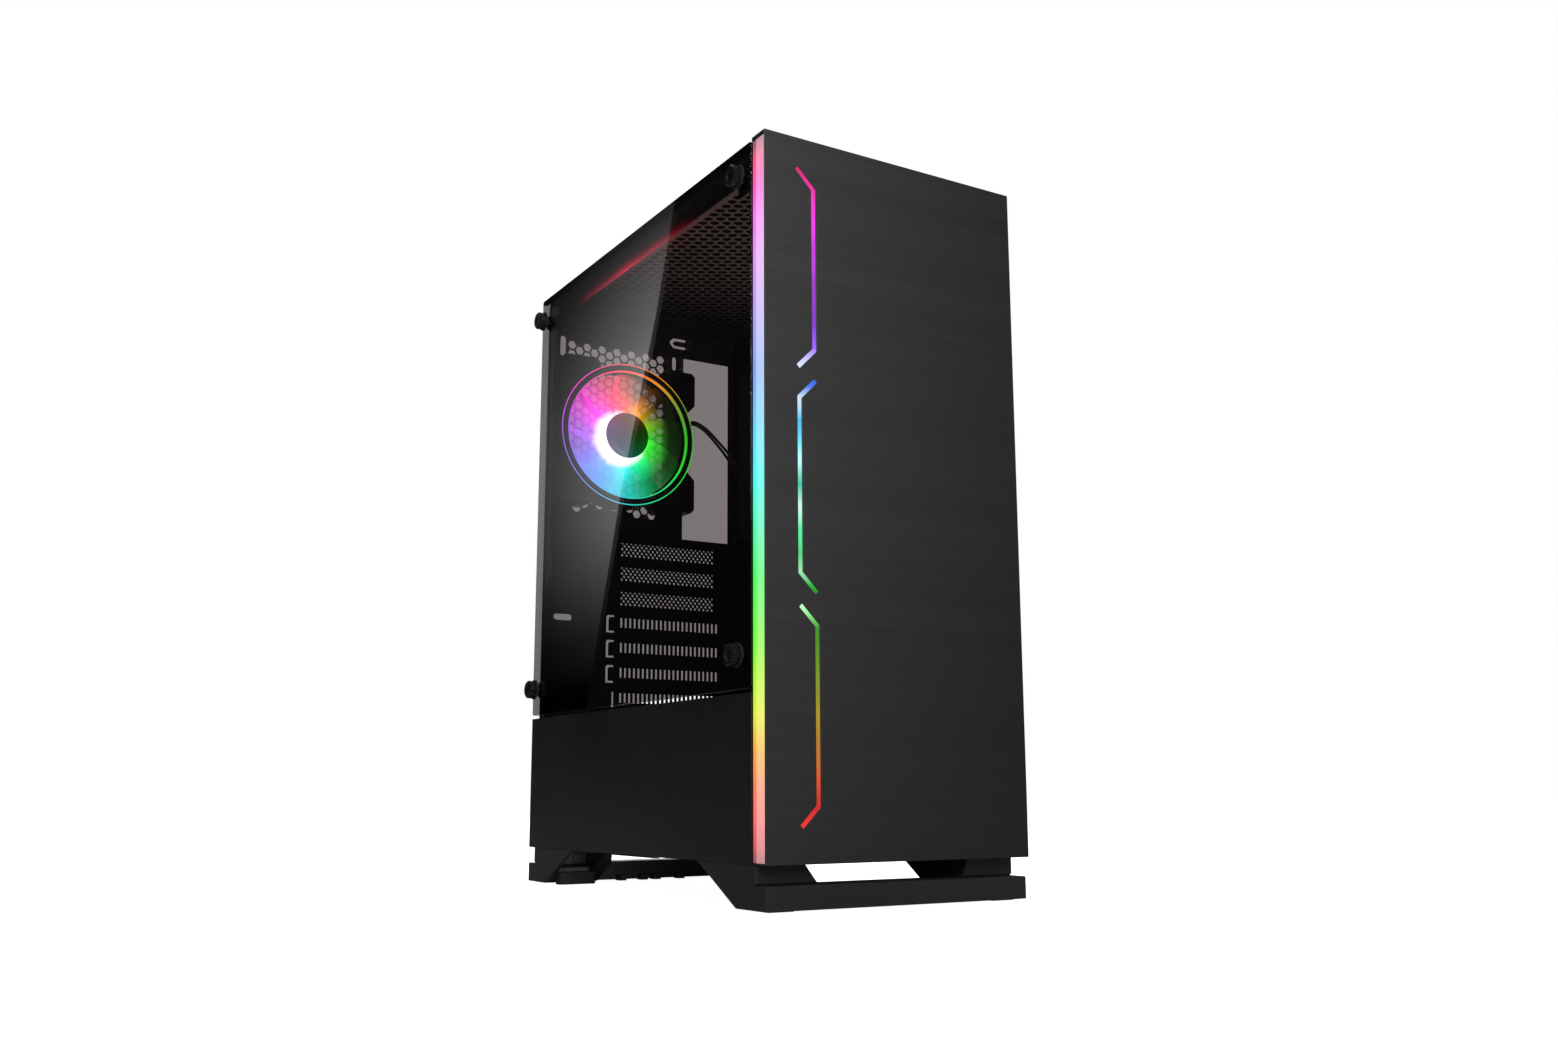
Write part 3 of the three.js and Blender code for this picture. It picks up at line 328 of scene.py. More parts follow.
def screw_black():
    """Black oxide on a turned screw: tool rings, and bare metal that shows faintly at the rims."""
    look = Look("screw_black")
    rings = look.noise(1, 2, 0.5, look.stretched((3000, 60, 60)))
    look.set(Base_Color=look.tones(rings, grey(0.009), grey(0.028), 0.8), Metallic=0.7)
    return look.dull(rings, 0.28, 0.42).bump(rings, 0.1, FINE_RELIEF).material


def mesh_screen():
    """Black nylon strands."""
    look = Look("mesh_screen")
    twist = look.noise(3000, 2)
    look.set(Base_Color=look.tones(twist, grey(0.006), grey(0.014)), Roughness=0.6)
    return look.bump(twist, 0.2, 0.0001).material


# ---- glass

GLASS_TINT = (0.49, 0.462, 0.462)  # one face's; light crosses two
REAR_TINT = (0.42, 0.41, 0.405)  # beside the rear edge
REAR_EDGE = (0.3405, 0.3415)  # where that begins, in metres behind the front
PRINTED_BORDER = (0.4606, 0.4612)  # the height in metres at which the black border begins
MIRRORED = 0.045  # share of light that the glass mirrors head on
MIRROR_RISE = 0.95  # how much more it mirrors at a grazing angle


def tinted_glass():
    """Smoked tempered glass with a printed black border along its top edge."""
    look = Look("tinted_glass")
    look.tree.nodes.remove(look.shader)
    smoke = look.noise(3, 1)
    tint = [tuple(c * share for c in GLASS_TINT) for share in (0.985, 1.015)]
    _, depth, height = look.axes()
    rear = look.fit(depth, *(FRONT_Y + edge for edge in REAR_EDGE))
    smoked = look.mix(rear, look.tones(smoke, *tint), REAR_TINT)
    border = look.fit(height, *PRINTED_BORDER)
    clear = look.node("BsdfTransparent", {"Color": look.mix(border, smoked, grey(0.002))})
    shine = look.node("BsdfGlossy", {"Roughness": 0.012})
    slant = look.node("LayerWeight", {"Blend": 0.5}).outputs["Facing"]
    share = look.math("MULTIPLY_ADD", look.math("POWER", slant, 5.0), MIRROR_RISE)
    look.put(share.node, {2: MIRRORED})
    blend = look.node("MixShader", {0: share, 1: clear.outputs[0], 2: shine.outputs[0]})
    return look.show(blend).material


# ---- lit materials

# The strip's colours by height in millimetres.
RAINBOW = [
    (27, (0.5, 0.22, 0.25)),
    (34, (0.75, 0.26, 0.28)),
    (50, (1.0, 0.32, 0.32)),
    (70, (1.0, 0.44, 0.27)),
    (90, (0.98, 0.6, 0.17)),
    (110, (0.88, 0.92, 0.13)),
    (130, (0.64, 0.98, 0.12)),
    (150, (0.38, 1.0, 0.14)),
    (190, (0.18, 1.0, 0.25)),
    (212, (0.2, 1.0, 0.52)),
    (250, (0.16, 1.0, 0.93)),
    (272, (0.28, 0.85, 1.0)),
    (312, (0.42, 0.6, 1.0)),
    (350, (0.65, 0.58, 1.0)),
    (390, (0.88, 0.51, 1.0)),
    (412, (0.98, 0.38, 0.98)),
    (432, (1.0, 0.26, 0.7)),
    (450, (0.96, 0.28, 0.46)),
    (456, (0.7, 0.28, 0.38)),
    (462, (0.5, 0.27, 0.32)),
]
STRIP_FACET = (9.6, 10.2)  # where its rear facet begins, in millimetres behind the front


def lit_strip():
    """Milky diffuser lit from behind: colours run up it, and its rear facet is deeper in colour."""
    look = Look("lit_strip")
    _, depth, height = look.axes()
    low, high = RAINBOW[0][0], RAINBOW[-1][0]
    stops = [((level - low) / (high - low), colour) for level, colour in RAINBOW]
    colour = look.ramp(look.fit(height, low * MM, high * MM), stops)
    facet = look.fit(depth, *(FRONT_Y + edge * MM for edge in STRIP_FACET))
    deep = look.mix(1.0, colour, colour, "MULTIPLY")
    look.set(Base_Color=look.tones(look.noise(300, 2), grey(0.1), grey(0.12)), Roughness=0.35)
    look.set(Emission_Color=look.mix(facet, colour, deep), Emission_Strength=0.95)
    return look.satin(900).material


# Each line's colours as shares of its height from its lower end, with a hot spot over each lamp.
LINE_COLOURS = {
    "top": [
        (0.0, (0.8, 0.92, 1.0)),
        (0.05, (0.6, 0.6, 1.0)),
        (0.12, (0.27, 0.1, 0.85)),
        (0.22, (0.27, 0.05, 0.76)),
        (0.4, (0.42, 0.06, 0.76)),
        (0.6, (0.64, 0.04, 0.84)),
        (0.79, (0.95, 0.03, 0.7)),
        (0.89, (0.95, 0.03, 0.42)),
        (1.0, (0.75, 0.03, 0.14)),
    ],
    "middle": [
        (0.0, (0.01, 0.1, 0.01)),
        (0.05, (0.03, 0.55, 0.04)),
        (0.11, (0.5, 1.0, 0.62)),
        (0.18, (0.12, 0.95, 0.28)),
        (0.3, (0.08, 0.78, 0.33)),
        (0.4, (0.66, 1.0, 0.86)),
        (0.5, (0.04, 0.75, 0.52)),
        (0.6, (0.56, 1.0, 1.0)),
        (0.69, (0.15, 0.75, 0.94)),
        (0.79, (0.07, 0.5, 0.9)),
        (0.89, (0.75, 0.92, 1.0)),
        (0.95, (0.06, 0.22, 1.0)),
        (1.0, (0.05, 0.1, 0.5)),
    ],
    "bottom": [
        (0.0, (0.85, 0.04, 0.03)),
        (0.1, (0.66, 0.02, 0.02)),
        (0.2, (0.82, 0.08, 0.02)),
        (0.3, (0.53, 0.15, 0.02)),
        (0.45, (0.38, 0.21, 0.01)),
        (0.6, (0.25, 0.28, 0.01)),
        (0.75, (0.14, 0.32, 0.01)),
        (0.88, (0.06, 0.36, 0.02)),
        (0.95, (0.32, 0.92, 0.3)),
        (1.0, (0.72, 1.0, 0.76)),
    ],
}


def lit_line(name):
    """The lens of one light line, lit in its own colours."""
    look = Look("lit_line_" + name)
    _, _, (z0, z1) = span("line_lens_" + name)
    height = look.axes()[2]
    colour = look.ramp(look.fit(height, z0 * MM, z1 * MM), LINE_COLOURS[name])
    spots = look.fit(look.noise(28, 1), 0.35, 0.7, 0.75, 1.25)
    look.set(Base_Color=(0.012, 0.012, 0.014, 1), Roughness=0.4, Specular_IOR_Level=0.12)
    look.set(Emission_Color=colour, Emission_Strength=spots)
    return look.satin(900).material


# Colours round the fan and how bright the blades stay out to their tips, as shares of a turn from nine
# o'clock, anticlockwise as seen from the front.
FAN_WHEEL = [
    (0.0, (0.45, 0.1, 1.0)),
    (0.08, (0.22, 0.2, 1.0)),
    (0.17, (0.1, 0.42, 1.0)),
    (0.25, (0.01, 0.8, 0.8)),
    (0.33, (0.0, 0.85, 0.25)),
    (0.42, (0.01, 0.8, 0.02)),
    (0.52, (0.01, 0.52, 0.0)),
    (0.6, (0.18, 0.32, 0.0)),
    (0.67, (0.8, 0.32, 0.0)),
    (0.74, (1.0, 0.08, 0.04)),
    (0.81, (1.0, 0.01, 0.18)),
    (0.89, (1.0, 0.01, 0.75)),
    (0.95, (0.78, 0.03, 1.0)),
    (1.0, (0.45, 0.1, 1.0)),
]
TIP_GLOW = [
    (0.0, grey(0.55)), (0.18, grey(0.55)), (0.27, grey(0.4)), (0.34, grey(0.12)), (0.42, grey(0.03)),
    (0.62, grey(0.012)), (0.7, grey(0.07)), (0.77, grey(0.45)), (0.88, grey(0.6)), (1.0, grey(0.55)),
]
HUB_EDGE = 0.019  # metres from the fan's middle
FAN_CENTRE = at(FAN_X, 0, FAN_Z)
CRESCENT_CENTRE = at(FAN_X - 4.6, 0, FAN_Z - 2.6)
CRESCENT_FADE = (0.0192, 0.0250)  # metres from there over which the white at the blades' roots fades


def lit_rotor():
    """Frosted clear plastic lit from the hub: white at the root on one side, and fading towards the tips."""
    look = Look("lit_rotor")
    turn, reach = look.around(FAN_CENTRE)
    _, off_centre = look.around(CRESCENT_CENTRE)
    colour = look.ramp(turn, FAN_WHEEL)
    outward = look.math("POWER", look.fit(reach, HUB_EDGE, 0.041), 0.65)
    glow = look.mix(outward, (1, 1, 1), look.ramp(turn, TIP_GLOW))
    lit = look.mix(1.0, colour, glow, "MULTIPLY")
    white = look.fit(off_centre, *CRESCENT_FADE, 1.0, 0.0)
    lit = look.mix(white, lit, (0.7, 0.7, 0.75))
    look.set(Base_Color=(0.03, 0.03, 0.035, 1), Roughness=0.3, Emission_Color=lit)
    lower = look.ramp(turn, [(0.0, grey(0)), (0.1, grey(1)), (0.4, grey(1)), (0.5, grey(0))])
    look.set(Emission_Strength=look.fit(lower, 0, 1, 16.0, 11.5))
    look.satin(700)
    clearer = look.fit(reach, HUB_EDGE, 0.05, 0.35, 0.17)
    cover = look.math("MAXIMUM", clearer, look.times(lower, 0.55))
    return look.see_through(cover, (0.92, 0.92, 0.94)).material


def hub_face():
    """Polished black hub with a painted reflection of the fan's colours round it, glowing more towards its
    edge.
    """
    look = Look("hub_face")
    turn, reach = look.around(FAN_CENTRE)
    # Painted reflection: the wheel's colours glow on the hub as emission, stronger towards its edge.
    painted_reflection_share = look.fit(reach, 0.0, HUB_EDGE, 0.3, 1.1)
    look.set(Base_Color=(*grey(0.006), 1)).dull(look.noise(60, 3), 0.12, 0.2)
    look.set(Emission_Color=look.ramp(turn, FAN_WHEEL), Emission_Strength=look.times(painted_reflection_share, 0.55))
    return look.material


def fan_light(name, white, base, strength, rough):
    """A part of the fan lit in the wheel's colours, mixed with a share of white."""
    look = Look(name)
    turn, _ = look.around(FAN_CENTRE)
    colour = look.mix(white, look.ramp(turn, FAN_WHEEL), (1, 1, 1))
    look.set(Base_Color=(*grey(base), 1), Emission_Color=colour, Emission_Strength=strength, Roughness=rough)
    return look.satin(900, 0.04).material


def ring_band():
    """The smoky clear band between the fan's two lit rims."""
    look = Look("ring_band")
    haze = look.noise(60, 2)
    look.set(Base_Color=look.tones(haze, grey(0.02), grey(0.03)), Roughness=0.2).satin(500, 0.04)
    return look.see_through(0.75, (0.6, 0.6, 0.62)).material


# The rail's red light is a painted glow, given as emission on the steel.
RAIL_EDGE = (0.444, 0.454)  # the heights in metres that the red light on the rail fades between


def rail_steel():
    """The painted frame by the glass, with a painted red glow of spilt light along the lower edge of its top
    rail.
    """
    look = Look("rail_steel")
    peel = look.noise(1500, 2)
    patches = look.noise(9, 3)
    look.set(Base_Color=look.tones(patches, grey(0.005), grey(0.008), 0.75), Roughness=0.42)
    _, depth, height = look.axes()
    # Painted glow: red emission strongest at the rail's lower edge, fading upwards and towards both ends.
    painted_light_fade = [(0.0, grey(1)), (0.26, grey(0.45)), (0.5, grey(0.1)), (1.0, grey(0))]
    edge = look.ramp(look.fit(height, *RAIL_EDGE), painted_light_fade)
    painted_red_spill = look.times(edge, look.between(depth, (0.10, 0.20), (0.21, 0.30)))
    painted_glow_uneven = look.times(painted_red_spill, look.fit(look.noise(20, 2), LOW_NOISE, HIGH_NOISE, 0.6, 1.2))
    look.set(Emission_Color=(1.0, 0.012, 0.09, 1), Emission_Strength=look.times(painted_glow_uneven, 2.3))
    return look.bump(peel, 0.16, PEEL_RELIEF).material


def ceiling_steel():
    """The underside of the top plate: black paint given a lighter, warm grey as painted light, with painted
    shade darkening it towards the rear and a painted red glow beside the glass."""
    look = Look("ceiling_steel")
    patches = look.noise(9, 3)
    across, depth, _ = look.axes()
    # Painted shade: the colour darkens towards the rear.
    lit = look.fit(depth, FRONT_Y + 0.22, FRONT_Y + 0.318, 1.0, 0.12)
    # Painted light: a lighter, warm grey stands in for the light that falls on the black paint.
    colour = look.tones(patches, grey(0.085, 0.06), grey(0.12, 0.08), 0.75)
    look.set(Base_Color=look.mix(1.0, colour, lit, "MULTIPLY"), Specular_IOR_Level=0.3)
    look.dull(patches, 0.5, 0.66)
    # Painted glow: red emission on the steel beside the glass.
    beside = look.fit(across, MIDDLE_X - 0.082, MIDDLE_X - 0.048, 1.0, 0.0)
    painted_red_spill = look.times(look.math("POWER", beside, 2.0), look.between(depth, (0.07, 0.17), (0.20, 0.29)))
    look.set(Emission_Color=(1.0, 0.03, 0.1, 1), Emission_Strength=look.times(painted_red_spill, 0.4))
    return look.bump(look.noise(1500, 2), 0.16, PEEL_RELIEF).material


STEEL = painted_steel()
INNER_STEEL = painted_steel("inner_steel", 0.014, 0.5)
CEILING_STEEL = ceiling_steel()
PLASTIC = moulded("moulded_black", 0.012, 0.48)
FOOT_PLASTIC = moulded("moulded_foot", 0.012, 0.45, 0.35)
FILTER_PLASTIC = moulded("moulded_filter", 0.0025, 0.8, shine=0.06)
GLOSS = polished_black()
GLASS = tinted_glass()
RUBBER = rubber()
BOARD = circuit_board()
PLATED = plated()
SCREW = screw_black()
MESH = mesh_screen()
SLEEVE = cable_sleeve()
LIT_ROTOR = lit_rotor()
LIT_HUB = fan_light("lit_hub", 0.82, 0.1, 9.0, 0.4)
HUB_FACE = hub_face()
LIT_RIM = fan_light("lit_rim", 0.02, 0.04, 4.5, 0.3)
BAND = ring_band()

SLOT_LOOKS = {
    "steel": STEEL,
    "brushed_front": brushed_front(),
    "black_plastic": PLASTIC,
    "foot_plastic": FOOT_PLASTIC,
    "gloss_black": GLOSS,
    "tinted_glass": GLASS,
    "lit_strip": lit_strip(),
    "lit_ring": LIT_RIM,
    "lit_blades": LIT_ROTOR,
    "circuit_board": BOARD,
    "rubber": RUBBER,
    "cable_sleeve": SLEEVE,
    "filter_plastic": FILTER_PLASTIC,
    "port_metal": PLATED,
    "button": GLOSS,
    "screw_black": SCREW,
}


def dress_nodes():
    """Gives every CAD node the material of its slot."""
    for row in frame["record"]["subparts"]:
        node, slot = row["node"], row["material_slot"]
        look = lit_line(node.rsplit("_", 1)[1]) if slot == "lit_line" else SLOT_LOOKS[slot]
        if node == "glass_side_frame":
            look = rail_steel()
        data = NODES[node].data
        if not data.materials:
            data.materials.append(look)
        for index in range(len(data.materials)):
            data.materials[index] = look


dress_nodes()

# ---- mesh helpers

SMOOTH_ANGLE = math.radians(32)


def finish_piece(name, mesh, materials, body, replaces=()):
    """Links a mesh as a piece that rides on a body, shaded smooth over its gentle edges."""
    mesh.name = name
    for material in materials:
        mesh.materials.append(material)
    mesh.shade_smooth()
    mesh.set_sharp_from_angle(angle=SMOOTH_ANGLE)
    piece = new_object(name, mesh)
    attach(piece, body)
    if replaces:
        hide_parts(*replaces)


def mesh_of(bm):
    bmesh.ops.recalc_face_normals(bm, faces=bm.faces)
    mesh = bpy.data.meshes.new("made")
    bm.to_mesh(mesh)
    bm.free()
    return mesh


def add_block(bm, x, y, z):
    """A closed box between millimetre limits."""
    corners = [bm.verts.new(at(x[i & 1], y[i >> 1 & 1], z[i >> 2 & 1])) for i in range(8)]
    for a, b, c, d in ((0, 1, 3, 2), (4, 6, 7, 5), (0, 4, 5, 1), (2, 3, 7, 6), (0, 2, 6, 4), (1, 5, 7, 3)):
        bm.faces.new([corners[i] for i in (a, b, c, d)])


AXES = {
    "x": (Vector((0, 1, 0)), Vector((0, 0, 1)), Vector((1, 0, 0))),
    "y": (Vector((1, 0, 0)), Vector((0, 0, 1)), Vector((0, 1, 0))),
    "z": (Vector((1, 0, 0)), Vector((0, 1, 0)), Vector((0, 0, 1))),
}


def add_turned(bm, axis, centre, profile, sides, radius_at=None, looks=None, ring=False):
    """A closed turned body. The profile is (place along the axis, radius) pairs in millimetres, from one end
    of the axis to the other, where a radius of 0 closes it. A ring's profile closes on itself instead.
    radius_at can change a radius round the turn."""
    across, up, along = AXES[axis]
    rows = []
    for index, (place, radius) in enumerate(profile):
        middle = centre + along * place * MM
        if radius == 0:
            rows.append([bm.verts.new(middle)])
            continue
        row = []
        for side in range(sides):
            angle = 2 * math.pi * side / sides
            reach = (radius_at(index, side, radius) if radius_at else radius) * MM
            row.append(bm.verts.new(middle + reach * (math.cos(angle) * across + math.sin(angle) * up)))
        rows.append(row)
    nexts = rows[1:] + rows[:1] if ring else rows[1:]
    for index, (a, b) in enumerate(zip(rows, nexts)):
        for side in range(sides):
            after = (side + 1) % sides
            points = [a[side % len(a)], a[after % len(a)], b[after % len(b)], b[side % len(b)]]
            face = bm.faces.new(list(dict.fromkeys(points)))
            if looks:
                face.material_index = looks[index]


def sheet_mesh(outlines, plane, level, thickness):
    """A flat sheet in plane xy or xz with holes: outlines in millimetres, the outer edge first. The sheet
    begins at level along the third axis."""
    curve = bpy.data.curves.new("outline", "CURVE")
    curve.dimensions, curve.fill_mode, curve.extrude = "2D", "BOTH", thickness / 2
    for points in outlines:
        spline = curve.splines.new("POLY")
        spline.points.add(len(points) - 1)
        for point, (a, b) in zip(spline.points, points):
            point.co = (a, b, 0, 1)
        spline.use_cyclic_u = True
    holder = new_object("outline", curve)
    mesh = bpy.data.meshes.new_from_object(holder)
    bpy.data.objects.remove(holder)
    bpy.data.curves.remove(curve)
    bm = bmesh.new()
    bm.from_mesh(mesh)
    bpy.data.meshes.remove(mesh)
    bmesh.ops.remove_doubles(bm, verts=bm.verts, dist=1e-4)
    middle = level + thickness / 2
    for vert in bm.verts:
        a, b, c = vert.co
        vert.co = at(a, b, middle + c) if plane == "xy" else at(a, middle - c, b)
    return mesh_of(bm)


def rectangle(x, z):
    return [(x[0], z[0]), (x[1], z[0]), (x[1], z[1]), (x[0], z[1])]


def polygon(a, b, radius, sides):
    angles = [2 * math.pi * i / sides for i in range(sides)]
    return [(a + radius * math.cos(t), b + radius * math.sin(t)) for t in angles]


def oblong(x, z):
    """A slot with round ends, upright or lying."""
    steps = 4  # to each end's half turn
    wide, tall = x[1] - x[0], z[1] - z[0]
    radius = min(wide, tall) / 2
    cx, cz = (x[0] + x[1]) / 2, (z[0] + z[1]) / 2
    reach = max(wide, tall) / 2 - radius
    along = (0, 1) if tall > wide else (1, 0)
    begin = 0.0 if tall > wide else -math.pi / 2
    points = []
    for sign, offset in ((1, 0.0), (-1, math.pi)):
        for i in range(steps + 1):
            angle = begin + offset + math.pi * i / steps
            points.append((
                cx + sign * reach * along[0] + radius * math.cos(angle),
                cz + sign * reach * along[1] + radius * math.sin(angle),
            ))
    return points


def hex_grid(x, z, across, up, radius, keep=lambda a, b: True):
    """Hexagonal holes with flat tops, in upright columns that are staggered by half a row."""
    holes = []
    for column in range(int((x[1] - x[0]) / across) + 1):
        a = x[0] + column * across
        for row in range(int((z[1] - z[0]) / up) + 1):
            b = z[0] + (row + 0.5 * (column % 2)) * up
            if b + radius <= z[1] + up / 2 and keep(a, b):
                holes.append(polygon(a, b, radius, 6))
    return holes


# ---- rear panel and slot covers

SLOT_COUNT = 7
COVER_SPANS = [span(f"slot_cover_{i + 1}") for i in range(SLOT_COUNT)]
SLOT_HEIGHTS = [(z[0] + z[1]) / 2 for _, _, z in COVER_SPANS]
SLOT_X = (-26, 71)
SLOT_HALF_HEIGHT = 6.5
HOOK_X = (-35.7, -28.0)  # the C-shaped cut beside a card slot
HOOK_STROKE = 1.7
HOOK_BACK = 2.9  # width of its upright stroke
HOOK_HALF_HEIGHT = 7.2
HOOK_CORNER = 1.6
LAST_SLIT_X = (-30.0, -27.6)
LAST_SLIT_HALF_HEIGHT = 6
HEX_VENT = {"x": (-70, 14), "z": (291, 434), "across": 6.75, "up": 7.8, "radius": 3.75}
VENT_GAP = (-57, -15)  # the part of the vent's second row that stays closed
IO_OPENING = ((33.1, 77.5), (277.4, 436.2))
POWER_OPENING = [
    (-61, 31), (61, 31), (61, 44), (73, 44), (73, 93), (61, 93), (61, 115), (-38, 115), (-38, 102),
    (-73, 102), (-73, 44), (-61, 44),
]
POWER_SCREWS = ((-69, 36), (69, 36), (69, 100), (-45, 110))
ROUND_ENDED_CUTS = (((-80.5, -75.5), (420, 438)), ((-81, -65), (202.5, 207.5)), ((22.2, 26.2), (424, 436)))
BENT_CUT = [
    (35, 444), (35, 446.4), (25, 446.4), (22.8, 448.5), (25, 450.6), (35, 450.6), (35, 453), (23.5, 453),
    (20, 449.6), (20, 447.4), (23.5, 444),
]
SIDE_SCREWS = ((89, 60), (89, 430))
REAR_SHEET = 1  # its thickness


def hook(middle):
    """The outline of the C-shaped cut, by the height of its middle."""
    x0, x1 = HOOK_X
    top, low = middle + HOOK_HALF_HEIGHT, middle - HOOK_HALF_HEIGHT
    s = HOOK_STROKE
    inner = x0 + HOOK_BACK
    return [
        (x1, low), (x1, low + s), (inner, low + s), (inner, top - s - 1), (inner + 1, top - s),
        (x1, top - s), (x1, top), (x0 + HOOK_CORNER, top), (x0, top - HOOK_CORNER), (x0, low),
    ]


def rear_panel():
    x, _, z = span("rear_panel")
    back = span("lower_side_panel")[1][1]
    lowest = HEX_VENT["z"][0]

    def kept(a, b):
        """The vent's lowest row is left out, and the next is open only at its two ends."""
        return b > lowest + 5 or (b > lowest + 2 and not VENT_GAP[0] < a < VENT_GAP[1])

    holes = hex_grid(**HEX_VENT, keep=kept)
    holes += [rectangle(SLOT_X, (h - SLOT_HALF_HEIGHT, h + SLOT_HALF_HEIGHT)) for h in SLOT_HEIGHTS]
    holes += [hole for index, middle in enumerate(SLOT_HEIGHTS) for hole in side_cuts(index, middle)]
    holes += [rectangle(*IO_OPENING), POWER_OPENING]
    holes += [polygon(a, b, 1.8, 12) for a, b in POWER_SCREWS]
    holes += [oblong(a, b) for a, b in ROUND_ENDED_CUTS]
    holes.append(BENT_CUT)
    holes += [polygon(a, b, 2.1, 12) for a, b in SIDE_SCREWS]
    mesh = sheet_mesh([rectangle(x, z), *holes], "xz", back - REAR_SHEET, REAR_SHEET)
    finish_piece("rear_panel_perforated", mesh, [INNER_STEEL], "chassis", ["rear_panel"])


BLADE_X = -34  # where a cover's full height ends and its narrower tab begins
TAB_HALF_HEIGHT = 8
PIERCING_START = -23.2
PIERCING_LIFT = 1.2  # the pierced band's middle above the cover's
DOT_COLUMNS, DOT_ROWS = 22, 5
DOT_PITCH = (4.0, 2.5)
DOT_RADIUS = 1.08
SLIT_COUNT = 23
SLIT_PITCH = 4.0
SLIT_WIDTH = 2.0
SLIT_HALF_HEIGHT = 3.9


def cover_holes(index, middle):
    """Staggered rows of round holes on the first three covers, and upright slits on the rest."""
    level = middle + PIERCING_LIFT
    if index < 3:
        across, up = DOT_PITCH
        start = PIERCING_START + 0.8
        return [
            polygon(start + across * (i + (row % 2) / 2), level + up * (row - DOT_ROWS // 2), DOT_RADIUS, 8)
            for row in range(DOT_ROWS)
            for i in range(DOT_COLUMNS - row % 2)
        ]
    starts = [PIERCING_START + SLIT_PITCH * i for i in range(SLIT_COUNT)]
    height = (level - SLIT_HALF_HEIGHT, level + SLIT_HALF_HEIGHT)
    return [rectangle((start, start + SLIT_WIDTH), height) for start in starts]


def side_cuts(index, middle):
    """The C-shaped cut beside covers four to six, and a short slit beside the last."""
    if index == SLOT_COUNT - 1:
        return [rectangle(LAST_SLIT_X, (middle - LAST_SLIT_HALF_HEIGHT, middle + LAST_SLIT_HALF_HEIGHT))]
    return [hook(middle)] if index > 2 else []


def slot_covers():
    for index, (x, y, z) in enumerate(COVER_SPANS):
        middle = SLOT_HEIGHTS[index]
        tab = (middle - TAB_HALF_HEIGHT, middle + TAB_HALF_HEIGHT)
        outer = [
            (BLADE_X, z[0]), (x[1], z[0]), (x[1], z[1]), (BLADE_X, z[1]), (BLADE_X, tab[1]), (x[0], tab[1]),
            (x[0], tab[0]), (BLADE_X, tab[0]),
        ]
        holes = [*cover_holes(index, middle), *side_cuts(index, middle)]
        mesh = sheet_mesh([outer, *holes], "xz", y[0], y[1] - y[0])
        node = f"slot_cover_{index + 1}"
        finish_piece(node + "_pierced", mesh, [INNER_STEEL], "chassis", [node])


rear_panel()
slot_covers()

# ---- top plate

TOP_VENT = {"x": (-66, 66), "z": (76, 320), "across": 7.22, "up": 8.35, "radius": 3.75}
PORT_OPENING = ((12, 90), (22, 44))
PLATE_RELIEF = 0.45  # the pressed mesh is thinner than the flat sheet


def top_plate():
    x, y, z = span("top_plate")
    outlines = [rectangle(x, y), *hex_grid(**TOP_VENT), rectangle(*PORT_OPENING)]
    mesh = sheet_mesh(outlines, "xy", z[0] + PLATE_RELIEF, z[1] - z[0] - PLATE_RELIEF)
    for face in mesh.polygons:
        face.material_index = int(face.normal.z > 0.5)
    finish_piece("top_plate_perforated", mesh, [CEILING_STEEL, STEEL], "chassis", ["top_plate"])


top_plate()

# ---- fan

HUB_RADIUS = 19.0
BLADE_TIP = 51.8
BLADE_COUNT = 9
BLADE_DEPTH = (4, 13)  # from the rotor's front
BLADE_SWEEP = 14  # degrees, as are the next two
BLADE_WIDTH = 56
BLADE_NARROWING = 9
RING_OUTER, RING_INNER = 58.9, 52.6


def add_blade(bm, turn, depth):
    """One blade: a twisted, swept sheet of even thickness from the hub to its tip."""
    front, back = depth
    chords, steps, thickness = 7, 8, 1.3
    grid = {}
    for i in range(steps + 1):
        reach = i / steps
        radius = HUB_RADIUS - 0.6 + (BLADE_TIP - HUB_RADIUS + 0.6) * reach
        sweep = math.radians(BLADE_SWEEP * reach ** 1.5)
        width = math.radians(BLADE_WIDTH - BLADE_NARROWING * reach)
        for j in range(chords + 1):
            share = j / chords
            angle = turn + sweep + width * (share - 0.5)
            y = front + (back - front) * (share - 0.12 * math.sin(math.pi * share)) * (1 - 0.25 * reach)
            for side, lift in enumerate((0.0, thickness)):
                point = at(FAN_X + radius * math.sin(angle), y + lift, FAN_Z + radius * math.cos(angle))
                grid[i, j, side] = bm.verts.new(point)
    for i in range(steps):
        for j in range(chords):
            for side in (0, 1):
                corners = ((i, j), (i + 1, j), (i + 1, j + 1), (i, j + 1))
                bm.faces.new([grid[a, b, side] for a, b in corners])
    border = [(i, 0) for i in range(steps + 1)] + [(steps, j) for j in range(1, chords + 1)]
    border += [(i, chords) for i in range(steps - 1, -1, -1)] + [(0, j) for j in range(chords - 1, 0, -1)]
    for (i, j), (k, m) in zip(border, border[1:] + border[:1]):
        bm.faces.new([grid[i, j, 0], grid[k, m, 0], grid[k, m, 1], grid[i, j, 1]])


def fan_rotor():
    _, (y0, y1), _ = span("fan_rotor")
    depth = y1 - y0
    bm = bmesh.new()
    profile = [
        (0, 0), (0, 13.5), (0.25, 16.5), (1.1, HUB_RADIUS - 0.5), (2.0, HUB_RADIUS), (depth - 1, HUB_RADIUS),
        (depth, HUB_RADIUS - 1), (depth, 0),
    ]
    add_turned(bm, "y", at(FAN_X, y0, FAN_Z), profile, 64, looks=[0, 0, 0, 0, 1, 1, 1])
    finish_piece("fan_hub", mesh_of(bm), [HUB_FACE, LIT_HUB], "fan_rotor", ["fan_rotor"])
    bm = bmesh.new()
    for i in range(BLADE_COUNT):
        add_blade(bm, 2 * math.pi * i / BLADE_COUNT, [y0 + part for part in BLADE_DEPTH])
    finish_piece("fan_blades", mesh_of(bm), [LIT_ROTOR], "fan_rotor", ["fan_rotor"])


